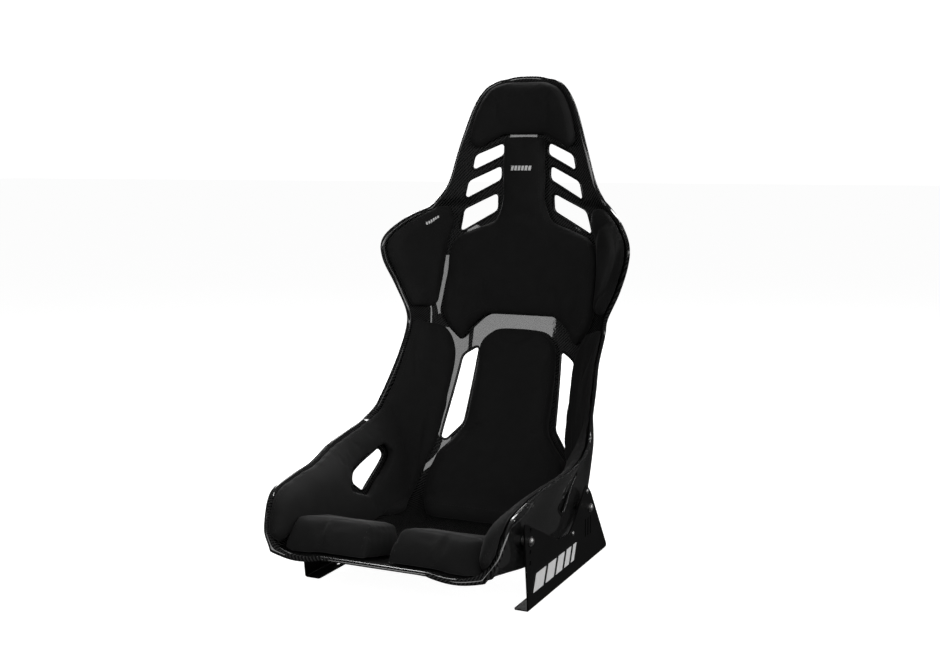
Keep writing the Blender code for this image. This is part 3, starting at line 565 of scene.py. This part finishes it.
def label_paint():
    """Black woven label with a row of plain white slanted bars."""
    p = Paint("woven_label")
    uv = p.add("SeparateXYZ", {"Vector": p.add("UVMap", uv_map="label").outputs["UV"]})
    u, v = uv.outputs["X"], uv.outputs["Y"]
    slanted = p.sum("MULTIPLY_ADD", v, -LABEL_SLANT, u)
    turn = p.sum("FRACT", p.sum("MULTIPLY", slanted, LABEL_BARS))
    first, last = LABEL_BAR_PART
    bars = p.sum("MULTIPLY", p.sum("LESS_THAN", turn, last), p.sum("GREATER_THAN", turn, first))
    middle = p.sum("ABSOLUTE", p.sum("SUBTRACT", v, 0.5))
    white = p.sum("MULTIPLY", bars, p.sum("LESS_THAN", middle, LABEL_BAR_HALF_HEIGHT))
    place = p.place()
    fuzz = p.noise(scale=900.0, detail=2.0, vector=place)
    ribs = p.noise(scale=1.0, detail=1.0, vector=p.scaled(place, LABEL_RIBS))
    light = p.blend(p.sum("MULTIPLY", ribs, fuzz), grey(0.66), grey(0.92))
    dark = p.blend(fuzz, grey(0.006), grey(0.014))
    return p.finish(
        Base_Color=p.blend(white, dark, light), Roughness=0.75,
        Normal=p.bump(ribs, strength=0.3, distance=0.0003), Specular_IOR_Level=0.2,
    )


def slot_edge_shade_paint():
    """Dark, nearly unreflective finish on the slot edges: painted shade standing in for the shaded inner
    walls of the slots.
    """
    p = Paint("slot_edge_painted_shade")
    edge_mottle = p.noise(scale=160.0, detail=3.0, vector=p.place())
    # Painted shade: the edge colour is kept darker than the carbon so the slot edges read as their shaded
    # inner walls.
    colour = p.blend(edge_mottle, grey(0.003), grey(0.009))
    rough = p.spread(edge_mottle, span=0.10, low=0.20)
    return p.finish(
        Base_Color=colour, Roughness=rough, Specular_IOR_Level=0.22,
        Normal=p.bump(edge_mottle, strength=0.2, distance=0.0003),
    )


def thread_paint():
    """Black twisted sewing thread."""
    p = Paint("black_thread")
    place = p.place()
    twist = p.noise(scale=2600.0, detail=2.0, vector=place)
    colour = p.blend(twist, grey(0.006), grey(0.020))
    rough = p.spread(twist, span=0.2, low=0.6)
    return p.finish(
        Base_Color=colour, Roughness=rough, Specular_IOR_Level=0.25,
        Normal=p.bump(twist, strength=0.5, distance=0.0003),
    )


def stripe_paint():
    """White screen-printed ink over powder coat."""
    p = Paint("white_ink")
    place = p.place()
    grain = p.noise(scale=1400.0, detail=2.0, vector=place)
    patches = p.noise(scale=60.0, detail=4.0, vector=place)
    colour = p.blend(patches, grey(0.74), grey(0.88))
    rough = p.spread(grain, span=0.2, low=0.4)
    return p.finish(Base_Color=colour, Roughness=rough, Normal=p.bump(grain, strength=0.15, distance=0.0003))


CARBON = carbon_paint()
FABRIC = fabric_paint()
POWDER = powder_paint()
STEEL = steel_paint("zinc_plated_steel", low=0.34, high=0.52, roughness=0.26)
DARK_STEEL = steel_paint("plated_spacer_steel", low=0.22, high=0.36, roughness=0.32)
TAPE = tape_paint()
LABEL = label_paint()
INK = stripe_paint()
THREAD = thread_paint()
SLOT_EDGE_SHADE = slot_edge_shade_paint()


# ---------------------------------------------------------------- shell

SHELL_ROW_STEP = 0.14
SHELL_COLUMNS = 97
SHELL_SHARP_DEG = 45.0
WEAVE_LINE_STEPS = 600


def weave_map(s, v):
    """Cloth coordinates of places on the shell, in metres along the surface."""
    fine = np.linspace(0, LAST, WEAVE_LINE_STEPS)
    middle = surface(fine, np.zeros_like(fine))
    up = np.interp(s, fine, reach_along(middle))
    sections = surface(s[:, :1] + 0 * v, v)
    steps = np.linalg.norm(np.diff(sections, axis=1), axis=2)
    across = np.concatenate([np.zeros((len(s), 1)), np.cumsum(steps, axis=1)], axis=1)
    centre = across[:, across.shape[1] // 2][:, None]
    return across - centre, up


def build_shell():
    """The laminate with rolled rim and its weave map."""
    count = round(LAST / SHELL_ROW_STEP)
    s_line = np.linspace(0, LAST, count + 1)
    v_line = np.linspace(-1, 1, SHELL_COLUMNS)
    s, v = np.meshgrid(s_line, v_line, indexing="ij")
    points = surface(s, v)
    map_u, map_v = weave_map(s, v)
    bm = bmesh.new()
    layer = bm.loops.layers.uv.new("weave")
    verts = [[bm.verts.new(p) for p in row] for row in points]
    place = {}
    for i, row in enumerate(verts):
        for j, vert in enumerate(row):
            place[vert] = (map_u[i, j], map_v[i, j])
    add_sheet(bm, verts)
    bm.faces.ensure_lookup_table()
    bm.normal_update()
    towards = Vector(normals(0.0, 0.0))
    if bm.faces[0].normal.dot(towards) < 0:
        bmesh.ops.reverse_faces(bm, faces=bm.faces)
        bm.normal_update()
    roll_rim(bm, place)
    for face in bm.faces:
        for loop in face.loops:
            loop[layer].uv = place[loop.vert]
    shell = link("carbon_shell", bm, CARBON)
    tree = BVHTree.FromObject(shell, bpy.context.evaluated_depsgraph_get())
    solidify = shell.modifiers.new("laminate", "SOLIDIFY")
    solidify.thickness = SHELL_THICK
    solidify.offset = 0.0
    return shell, tree


def roll_rim(bm, place):
    """Rolls the open edge outwards, away from the sitter."""
    edges = [e for e in bm.edges if e.is_boundary]
    frames = {}
    for edge in edges:
        loop = edge.link_loops[0]
        tangent = (loop.link_loop_next.vert.co - loop.vert.co).normalized()
        for vert in edge.verts:
            frames.setdefault(vert, Vector()).xyz += tangent
    rings = {vert: [vert] for vert in frames}
    for vert, tangent in frames.items():
        normal = vert.normal.normalized()
        outward = tangent.normalized().cross(normal).normalized()
        base = vert.co.copy()
        for k in range(1, RIM_ROLL_STEPS + 1):
            angle = math.radians(RIM_ROLL_DEG) * k / RIM_ROLL_STEPS
            reach = RIM_ROLL_RADIUS * math.sin(angle)
            drop = RIM_ROLL_RADIUS * (1.0 - math.cos(angle))
            new = bm.verts.new(base + outward * reach - normal * drop)
            place[new] = (place[vert][0] + math.copysign(RIM_ROLL_RADIUS * angle, base.x), place[vert][1])
            rings[vert].append(new)
    for edge in edges:
        loop = edge.link_loops[0]
        a, b = loop.vert, loop.link_loop_next.vert
        for k in range(RIM_ROLL_STEPS):
            bm.faces.new((rings[b][k], rings[a][k], rings[a][k + 1], rings[b][k + 1]))


def slot_loops():
    """Each opening's outline as (number, side, axis, loop), with the loop at the bead's centre line."""
    found = []
    shapes = [("Y", outline) for outline in (*BELT_SLOTS, LUMBAR_SLOT)] + [("X", LAP_OPENING)]
    for number, (axis, outline) in enumerate(shapes):
        corners = rounded(outline, SLOT_CORNER_RADIUS)
        loop = widened(resample(corners, SLOT_POINT_SPACING), SLOT_BEAD)
        if axis == "X":
            loop[:, 0] += CENTRE_SHIFT_Y
        for side in (-1, 1):
            found.append((number, side, axis, loop))
    return found


def on_shell(tree, side, axis, loop):
    """The outline's points carried straight onto the shell's middle surface."""
    points = []
    for a, b in loop:
        if axis == "Y":
            start, way = Vector((side * a, 0.0, b)), Vector((0, 1, 0))
        else:
            start, way = Vector((side * LAP_LINE_START_X, a, b)), Vector((side, 0, 0))
        hit = tree.ray_cast(start, way)[0]
        points.append(hit)
    return np.array(points)


shell, shell_tree = build_shell()
loops = slot_loops()
cutters = []
for number, side, axis, loop in loops:
    name = f"cut_{number}_{side + 1}"
    if axis == "Y":
        cutters.append(prism(name, loop * np.array([side, 1.0]), "Y", *SLOT_CUT_Y))
    else:
        cutters.append(prism(name, loop, "X", *(side * x for x in LAP_CUT_X)))
subtract(shell, cutters)
shell.data.shade_smooth()
shell.data.set_sharp_from_angle(angle=math.radians(SHELL_SHARP_DEG))
bm = bmesh.new()
for number, side, axis, loop in loops:
    tube(bm, on_shell(shell_tree, side, axis, loop), SLOT_BEAD, SLOT_BEAD_SIDES)
bmesh.ops.recalc_face_normals(bm, faces=bm.faces)
# The slot edges carry the painted-shade edge finish.
beads = link("carbon_shell_slot_edges", bm, SLOT_EDGE_SHADE)
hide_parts("seat_shell")
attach(shell, "root")
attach(beads, "root")


# ---------------------------------------------------------------- pads

# Height of a cushion's lower edge over the shell, and how far its back is hollowed above that.
PAD_BASE = 0.0028
PAD_HOLLOW = 0.0024
PAD_HOLLOW_REACH = 0.012
# The back is pulled in from the outline by this.
PAD_BACK_INSET = 0.0010
# The side's lower ring: pulled in from the widest line, and this share of the way up to it.
PAD_SIDE_INSET = 0.0008
PAD_SIDE_SHARE = 0.45
# Spacing of a cushion's first mesh, and the fewest steps across it.
PAD_GRID = 0.0045
PAD_GRID_LEAST = 10
# How far a cushion stands out over the pad's outline.
PAD_GROWTH = 0.0022
# How full the shoulder's curve is, and the crown's reach as a multiple of the edge's width.
SHOULDER_POWER = 2.3
CROWN_REACH = 3.2
# A pad's corner radius is at most this share of half its width or length.
CORNER_LIMIT = 0.85
# How finely a pad's length, width and outline are measured.
LENGTH_STEPS = 400
WIDTH_STEPS = 60
OUTLINE_STEPS = 160
OUTLINE_CHUNK = 64
# The widest line of a cushion's side, as a share of its height, and the cover's largest movement.
WAIST_SHARE = 0.45
COVER_SWELL = 0.0034


class Pad:
    """One cushion: its place on the shell, thickness, corner radius and how round its edge is."""

    def __init__(self, name, rows, side, thick, corner, edge, crown, **shape):
        self.name, self.side, self.thick = name, side, thick
        self.taper = shape.get("taper", 0.0)
        self.lean = shape.get("lean", 0.0)
        self.rake = shape.get("rake", 0.0)
        self.waist = shape.get("waist", WAIST_SHARE)
        self.swell = shape.get("swell", COVER_SWELL)
        self.table = np.array(rows)
        self.corner, self.edge, self.crown = corner, edge, crown
        t = np.linspace(0, 1, LENGTH_STEPS)
        middle = surface(*self.domain(t, np.zeros_like(t)))
        self.t_line, self.reach = t, reach_along(middle)
        q = np.linspace(-1, 1, WIDTH_STEPS)
        tt, qq = np.meshgrid(t, q, indexing="ij")
        across = surface(*self.domain(tt, qq))
        self.width = np.linalg.norm(np.diff(across, axis=1), axis=2).sum(axis=1)

    def domain(self, t, q):
        """(station, share) at t (0 to 1 along the pad) and q (-1 to 1 across it)."""
        row = along(self.table, t * (len(self.table) - 1))
        s, a, b = row[..., 0], row[..., 1], row[..., 2]
        if self.side == 0:
            arch = b * np.clip((BOW_END - np.abs(q)) / (BOW_END - BOW_FLAT), 0, 1)
            return s + arch, q * a
        return s, self.side * (a + (b - a) * (q + 1) / 2)

    def at(self, along_share, q, inset):
        """Domain places, with rounded corners, pulled in from the edge by inset metres."""
        half_h = self.reach[-1] / 2
        t = np.interp((along_share + 1) * half_h, self.reach, self.t_line)
        half_w = np.interp(t, self.t_line, self.width) / 2
        r = np.minimum(self.corner, CORNER_LIMIT * np.minimum(half_w, half_h))
        dx = np.clip((np.abs(q) * half_w - (half_w - r)) / r, 0, 1)
        dy = np.clip((np.abs(along_share) * half_h - (half_h - r)) / r, 0, 1)
        both = (dx > 0) & (dy > 0)
        x = np.where(both, dx * np.sqrt(1 - dy**2 / 2), dx)
        y = np.where(both, dy * np.sqrt(1 - dx**2 / 2), dy)
        new_q = np.where(both, np.sign(q) * (half_w - r + r * x) / half_w, q)
        new_b = np.where(both, np.sign(along_share) * (half_h - r + r * y) / half_h, along_share)
        new_q = new_q * (1 - inset / half_w)
        new_b = new_b * (1 - inset / half_h)
        t = np.interp((new_b + 1) * half_h, self.reach, self.t_line)
        return self.domain(t, new_q)

    def grid(self):
        """Even steps from -1 to 1 along the pad and across it."""
        rows = max(PAD_GRID_LEAST, round(self.reach[-1] / PAD_GRID))
        columns = max(PAD_GRID_LEAST, round(self.width.max() / PAD_GRID))
        b = np.linspace(-1, 1, rows + 1)
        q = np.linspace(-1, 1, columns + 1)
        return np.meshgrid(b, q, indexing="ij")

    def from_edge(self, b, q, inset):
        """Distance to the pad's outline, in metres, for each grid place."""
        points = surface(*self.at(b, q, inset))
        line = np.linspace(-1, 1, OUTLINE_STEPS)
        ones = np.ones_like(line)
        parts = [(line, -ones), (line, ones), (-ones, line), (ones, line)]
        outline = np.concatenate([surface(*self.at(p, r, inset)) for p, r in parts])
        flat = points.reshape(-1, 3)
        far = np.full(len(flat), np.inf)
        for start in range(0, len(outline), OUTLINE_CHUNK):
            part = outline[None, start : start + OUTLINE_CHUNK]
            gap = np.linalg.norm(flat[:, None] - part, axis=2)
            far = np.minimum(far, gap.min(axis=1))
        return far.reshape(b.shape)

    def build(self):
        """A closed cushion: crowned top, round shoulder, sides that tuck in, hollowed back."""
        b, q = self.grid()
        outwards = np.clip(((q + 1) / 2 - TAPER_START) / (1 - TAPER_START), 0, 1)
        thin = 1 - self.taper * outwards**2 * (3 - 2 * outwards)
        top = PAD_STANDOFF + self.thick * thin
        waist = PAD_BASE + self.waist * (top - PAD_BASE)
        far = self.from_edge(b, q, -PAD_GROWTH)
        near = 1 - np.minimum(far / self.edge, 1)
        shoulder = (1 - near**SHOULDER_POWER) ** (1 / SHOULDER_POWER)
        swell = 1 - (1 - np.minimum(far / (CROWN_REACH * self.edge), 1)) ** 2
        height = waist + (top - waist) * shoulder + self.crown * (swell - 0.5) * shoulder
        lean = self.lean * (height - waist)
        upper = skin(*self.at(b, q, lean - PAD_GROWTH), height)
        upper[..., 1] += self.rake * (height - waist) * (1 - b) / 2
        back_far = self.from_edge(b, q, PAD_BACK_INSET)
        hollow = PAD_BASE + PAD_HOLLOW * np.minimum(back_far / PAD_HOLLOW_REACH, 1)
        lower = skin(*self.at(b, q, PAD_BACK_INSET), hollow)
        side_height = PAD_BASE + PAD_SIDE_SHARE * (waist - PAD_BASE)
        middle = skin(*self.at(b, q, PAD_SIDE_INSET - PAD_GROWTH), side_height)
        bm = bmesh.new()
        sheets = [[[bm.verts.new(p) for p in row] for row in sheet] for sheet in (upper, lower)]
        for sheet in sheets:
            add_sheet(bm, sheet)
        side_ring = [bm.verts.new(p) for p in border([list(row) for row in middle])]
        add_band(bm, border(sheets[0]), side_ring)
        add_band(bm, side_ring, border(sheets[1]))
        bmesh.ops.recalc_face_normals(bm, faces=bm.faces)
        return bm


# name, rows, side, thickness, corner radius, width of the rounded edge, crown
PADS = [
    Pad("head_cushion", HEAD_ROWS, 0, 0.022, 0.022, 0.014, 0.004),
    Pad("upper_back_cushion", BACK_ROWS, 0, 0.024, 0.008, 0.013, 0.004),
    Pad("seat_and_lumbar_cushion", LUMBAR_ROWS, 0, 0.030, 0.008, 0.015, 0.004),
]
for label, side in (("left", -1), ("right", 1)):
    wing = (WING_ROWS, side, 0.018, 0.014, 0.009, 0.003)
    PADS.append(Pad(f"shoulder_wing_cushion_{label}", *wing, taper=0.45))
    bolster = (BOLSTER_ROWS, side, 0.018, 0.010, 0.008, 0.003)
    PADS.append(Pad(f"side_bolster_cushion_{label}", *bolster, taper=0.60))
    thigh = (THIGH_ROWS, side, 0.052, 0.009, 0.007, 0.003)
    PADS.append(Pad(f"thigh_cushion_{label}", *thigh, lean=0.03, rake=0.62, waist=0.14, swell=0.0014))
# The CAD node that each cushion replaces.
STANDS_FOR = {
    "head_cushion": "head_pad",
    "upper_back_cushion": "upper_back_pad",
    "seat_and_lumbar_cushion": "lower_back_seat_pad",
    "shoulder_wing_cushion_left": "shoulder_wing_pad_left",
    "shoulder_wing_cushion_right": "shoulder_wing_pad_right",
    "side_bolster_cushion_left": "side_bolster_pad_left",
    "side_bolster_cushion_right": "side_bolster_pad_right",
    "thigh_cushion_left": "thigh_pad_left",
    "thigh_cushion_right": "thigh_pad_right",
}

# The cover: mesh size, smoothing, and the cloth's pressure and frames.
VOXEL = 0.005
SOFTEN_SHARE = 0.5
SOFTEN_ROUNDS = 6
COVER_PRESSURE = 4.0
COVER_FRAMES = 20
COVER_QUALITY = 4
# The cover is held where it lies nearer than this to the shell.
HELD_WITHIN = 0.007
SEAM_RADIUS = 0.0008
SEAM_SIDES = 6
SEAM_HEIGHT = 0.0045
SEAM_SPACING = 0.004
# How far a seam or a stitch's middle stands out, and a stitch's ends sink in, as shares of its radius.
SEAM_RISE = 0.3
STITCH_RISE = 0.5
STITCH_SINK = -0.6
STITCH_RADIUS = 0.00035
STITCH_SIDES = 5
STITCH_LENGTH = 0.0034
STITCH_PITCH = 0.0062
STITCH_INSET = 0.0060
OUTLINE_LINE_STEPS = 240
# Where a line that looks for the cover starts above it, and how far it goes.
PROBE_ABOVE = 0.03
PROBE_LENGTH = 0.08
TINY = 1e-9
LABEL_STEPS = 25
LABEL_ROWS = 7
LABEL_THICK = 0.0005
# Labels: cushion, label's name, CAD node, ends in (station, share), width.
LABELS = {
    "upper_back_cushion": ("neck_label", "neck_tag", ((20.46, -0.108), (20.46, 0.108)), 0.0120),
    "shoulder_wing_cushion_left": (
        "wing_label", "wing_tag", ((17.10, -0.882), (17.60, -0.838)), 0.0050,
    ),
}


def coordinates(mesh):
    """The places of a mesh's vertices, as an array."""
    flat = np.empty(len(mesh.vertices) * 3)
    mesh.vertices.foreach_get("co", flat)
    return flat.reshape(-1, 3)


def settle(cushion, swell):
    """Lets the foam's pressure fill the cover out, holding it where it lies on the shell."""
    before = coordinates(cushion.data)
    held = cushion.vertex_groups.new(name="held")
    for index, place in enumerate(before):
        gap = shell_tree.find_nearest(Vector(place))[3]
        if gap < HELD_WITHIN:
            held.add([index], 1.0, "REPLACE")
    cloth = cushion.modifiers.new("cover_cloth", "CLOTH")
    cloth.settings.use_pressure = True
    cloth.settings.uniform_pressure_force = COVER_PRESSURE
    cloth.settings.effector_weights.gravity = 0.0
    cloth.settings.vertex_group_mass = "held"
    cloth.settings.quality = COVER_QUALITY
    cloth.point_cache.frame_start = 1
    cloth.point_cache.frame_end = COVER_FRAMES
    for frame_number in range(1, COVER_FRAMES + 1):
        bpy.context.scene.frame_set(frame_number)
    bake(cushion)
    bpy.context.scene.frame_set(1)
    moved = coordinates(cushion.data) - before
    length = np.linalg.norm(moved, axis=1, keepdims=True)
    moved *= np.minimum(1.0, swell / np.maximum(length, TINY))
    cushion.data.vertices.foreach_set("co", (before + moved).ravel())
    cushion.vertex_groups.clear()


def build_cushion(pad):
    """A cushion's cover: closed form, even mesh, filled out and smoothed."""
    cushion = link(pad.name, pad.build(), FABRIC)
    if pad.name.startswith("side_bolster"):
        corners = rounded(LAP_OPENING_IN_PAD, PAD_OPENING_CORNER_RADIUS)
        loop = resample(corners, PAD_OPENING_POINT_SPACING)
        loop[:, 0] += CENTRE_SHIFT_Y
        subtract(cushion, [prism("lap_cut", loop, "X", *(pad.side * x for x in LAP_CUT_X_IN_PAD))])
    remesh = cushion.modifiers.new("cover", "REMESH")
    remesh.mode = "VOXEL"
    remesh.voxel_size = VOXEL
    remesh.use_smooth_shade = True
    soften = cushion.modifiers.new("soften", "SMOOTH")
    soften.factor = SOFTEN_SHARE
    soften.iterations = SOFTEN_ROUNDS
    bake(cushion)
    settle(cushion, pad.swell)
    cushion.data.materials.clear()
    cushion.data.materials.append(FABRIC)
    finer = cushion.modifiers.new("finer", "SUBSURF")
    finer.levels = 1
    finer.render_levels = 1
    bake(cushion)
    cushion.data.shade_smooth()
    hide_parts(STANDS_FOR[pad.name])
    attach(cushion, "root")
    return cushion


def outline_of(pad, inset, spacing):
    """The pad's outline on the shell, pulled in by inset, as points and outward normals."""
    line = np.linspace(-1, 1, OUTLINE_LINE_STEPS)[:-1]
    ones = np.ones_like(line)
    sides = [(-ones, line), (line, ones), (ones, -line), (-line, -ones)]
    b = np.concatenate([side[0] for side in sides])
    q = np.concatenate([side[1] for side in sides])
    s, v = pad.at(b, q, inset)
    both = np.concatenate([surface(s, v), normals(s, v)], axis=1)
    closed = np.vstack([both, both[:1]])
    reach = reach_along(closed[:, :3])
    places = np.arange(0, reach[-1] - spacing / 2, spacing)
    even = np.stack([np.interp(places, reach, closed[:, k]) for k in range(6)], axis=-1)
    return even[:, :3], even[:, 3:]


def probe(tree, pad, place, normal):
    """The point and normal of the cover straight over a place on the shell."""
    start = place + normal * (pad.thick + PROBE_ABOVE)
    return tree.ray_cast(Vector(start), Vector(-normal), PROBE_LENGTH)[:2]


def build_seams(pad, cushion):
    """The corded seam low on the cushion's side and the row of stitches beside its edge."""
    tree = BVHTree.FromObject(cushion, bpy.context.evaluated_depsgraph_get())
    points, outwards = outline_of(pad, -PAD_GROWTH, SEAM_SPACING)
    seam = []
    for place, normal in zip(points, outwards):
        near = tree.find_nearest(Vector(place + SEAM_HEIGHT * normal))
        seam.append(np.array(near[0] + near[1] * SEAM_RADIUS * SEAM_RISE))
    bm = bmesh.new()
    tube(bm, np.array(seam), SEAM_RADIUS, SEAM_SIDES)
    points, outwards = outline_of(pad, STITCH_INSET, STITCH_PITCH)
    for index, (place, normal) in enumerate(zip(points, outwards)):
        ahead = points[(index + 1) % len(points)] - place
        ahead *= STITCH_LENGTH / max(np.linalg.norm(ahead), TINY)
        stitch = []
        for share, rise in ((0.0, STITCH_SINK), (0.5, STITCH_RISE), (1.0, STITCH_SINK)):
            point, out = probe(tree, pad, place + ahead * share, normal)
            if point is None:
                break
            stitch.append(np.array(point + out * STITCH_RADIUS * rise))
        else:
            tube(bm, np.array(stitch), STITCH_RADIUS, STITCH_SIDES, closed=False)
    bmesh.ops.recalc_face_normals(bm, faces=bm.faces)
    seams = link(pad.name + "_seams", bm, THREAD)
    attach(seams, "root")


def build_label(pad, cushion, name, node, ends, width):
    """A woven label laid on a cushion, from end to end in (station, share)."""
    tree = BVHTree.FromObject(cushion, bpy.context.evaluated_depsgraph_get())
    (s0, v0), (s1, v1) = ends
    share = np.linspace(0, 1, LABEL_STEPS)
    spine_s, spine_v = s0 + (s1 - s0) * share, v0 + (v1 - v0) * share
    spine = surface(spine_s, spine_v)
    towards = normals(spine_s, spine_v)
    across = np.cross(towards, spine[-1] - spine[0])
    across /= np.linalg.norm(across, axis=1, keepdims=True)
    sheets = ([], [])
    for row in range(LABEL_ROWS):
        offset = width * (row / (LABEL_ROWS - 1) - 0.5)
        lines = ([], [])
        for place, normal, side in zip(spine, towards, across):
            point = probe(tree, pad, place + side * offset, normal)[0]
            for line, lift in zip(lines, (LABEL_THICK, -LABEL_THICK)):
                line.append(point + Vector(normal) * lift)
        sheets[0].append(lines[0])
        sheets[1].append(lines[1])
    bm = bmesh.new()
    layer = bm.loops.layers.uv.new("label")
    where = {}
    edges = []
    for sheet in sheets:
        grid = [[bm.verts.new(p) for p in line] for line in sheet]
        for i, line in enumerate(grid):
            for j, vert in enumerate(line):
                where[vert] = (j / (LABEL_STEPS - 1), i / (LABEL_ROWS - 1))
        add_sheet(bm, grid)
        edges.append(border(grid))
    add_band(bm, *edges)
    bmesh.ops.recalc_face_normals(bm, faces=bm.faces)
    for face in bm.faces:
        for corner in face.loops:
            corner[layer].uv = where[corner.vert]
    label = link(name, bm, LABEL)
    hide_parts(node)
    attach(label, "root")


for pad in PADS:
    cushion = build_cushion(pad)
    build_seams(pad, cushion)
    if pad.name in LABELS:
        build_label(pad, cushion, *LABELS[pad.name])


# ---------------------------------------------------------------- carried-over CAD nodes

FINISHES = (
    ("side_bracket", POWDER), ("mount_bolt", STEEL), ("washer", STEEL), ("spacer", DARK_STEEL),
    ("shell_insert", STEEL), ("bracket_screw", STEEL), ("bracket_bar", INK),
    ("neck_tag", LABEL), ("wing_tag", LABEL),
)
for name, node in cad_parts.items():
    paint = next((finish for stem, finish in FINISHES if name.startswith(stem)), TAPE)
    for slot in node.material_slots:
        slot.material = paint


# ---------------------------------------------------------------- camera, floor, light

CAMERA_PLACE = (1.0567, -2.2316, 0.7994)
CAMERA_TURN = (82.6, 0.0, 24.8)
CAMERA_LENS = 49.02
CAMERA_SENSOR = 36.0
FLOOR_HALF_SIZE = 40.0
# Brightness of the surroundings as the objects see it, and as the camera does.
STUDIO_STRENGTH = (0.04, 1.05)

camera = bpy.data.objects.new("camera", bpy.data.cameras.new("camera"))
bpy.context.scene.collection.objects.link(camera)
camera.location = CAMERA_PLACE
camera.rotation_euler = [math.radians(a) for a in CAMERA_TURN]
camera.data.lens = CAMERA_LENS
camera.data.sensor_width = CAMERA_SENSOR
bpy.context.scene.camera = camera


def softbox(name, place, target, width, height, radiance):
    """A rectangular area light that faces a point."""
    light = bpy.data.lights.new(name, "AREA")
    light.shape = "RECTANGLE"
    light.size, light.size_y = width, height
    light.energy = radiance * math.pi * width * height
    obj = bpy.data.objects.new(name, light)
    bpy.context.scene.collection.objects.link(obj)
    obj.location = place
    obj.rotation_euler = (Vector(target) - Vector(place)).to_track_quat("-Z", "Y").to_euler()


# name, place, target, width, height, radiance
SOFTBOXES = (
    ("front_left", (-1.05, -2.44, 1.06), (0.0, 0.33, 0.43), 0.60, 1.0, 4.9),
    ("front_wide", (1.44, -2.48, 1.54), (-0.15, 0.28, 0.35), 3.8, 0.88, 4.6),
    ("overhead", (-0.8, 1.5, 2.7), (-0.16, 0.12, 0.07), 1.6, 1.2, 9.0),
    ("left_strip", (-2.2, 2.1, 1.9), (0.0, 0.0, 0.7), 0.5, 3.8, 12.0),
    ("right_strip", (2.8, 0.9, 1.9), (0.0, 0.0, 0.7), 0.16, 3.8, 25.0),
    ("right_soft", (2.9, -0.25, 1.2), (0.0, 0.0, 0.5), 0.4, 2.0, 5.0),
    ("back_wall", (-1.3, 2.9, 1.0), (0.0, 0.2, 0.5), 2.8, 2.2, 4.0),
)
for box in SOFTBOXES:
    softbox(*box)

bm = bmesh.new()
bmesh.ops.create_grid(bm, x_segments=8, y_segments=8, size=FLOOR_HALF_SIZE)
floor_paint = Paint("pale_floor")
floor = link("floor", bm, floor_paint.finish(
    Base_Color=grey(0.3), Roughness=0.9, Specular_IOR_Level=0.1,
    Emission_Color=grey(1.0), Emission_Strength=0.96,
))
floor.visible_glossy = False
floor.visible_diffuse = False

world = bpy.data.worlds.new("studio")
bpy.context.scene.world = world
world.use_nodes = True
sky = world.node_tree.nodes["Background"]
rays = world.node_tree.nodes.new("ShaderNodeLightPath")
strength = world.node_tree.nodes.new("ShaderNodeMapRange")
strength.inputs["To Min"].default_value = STUDIO_STRENGTH[0]
strength.inputs["To Max"].default_value = STUDIO_STRENGTH[1]
world.node_tree.links.new(rays.outputs["Is Camera Ray"], strength.inputs["Value"])
world.node_tree.links.new(strength.outputs["Result"], sky.inputs["Strength"])
sky.inputs["Color"].default_value = (1, 1, 1, 1)

scene = bpy.context.scene
scene.view_settings.view_transform = "Standard"
scene.view_settings.look = "None"
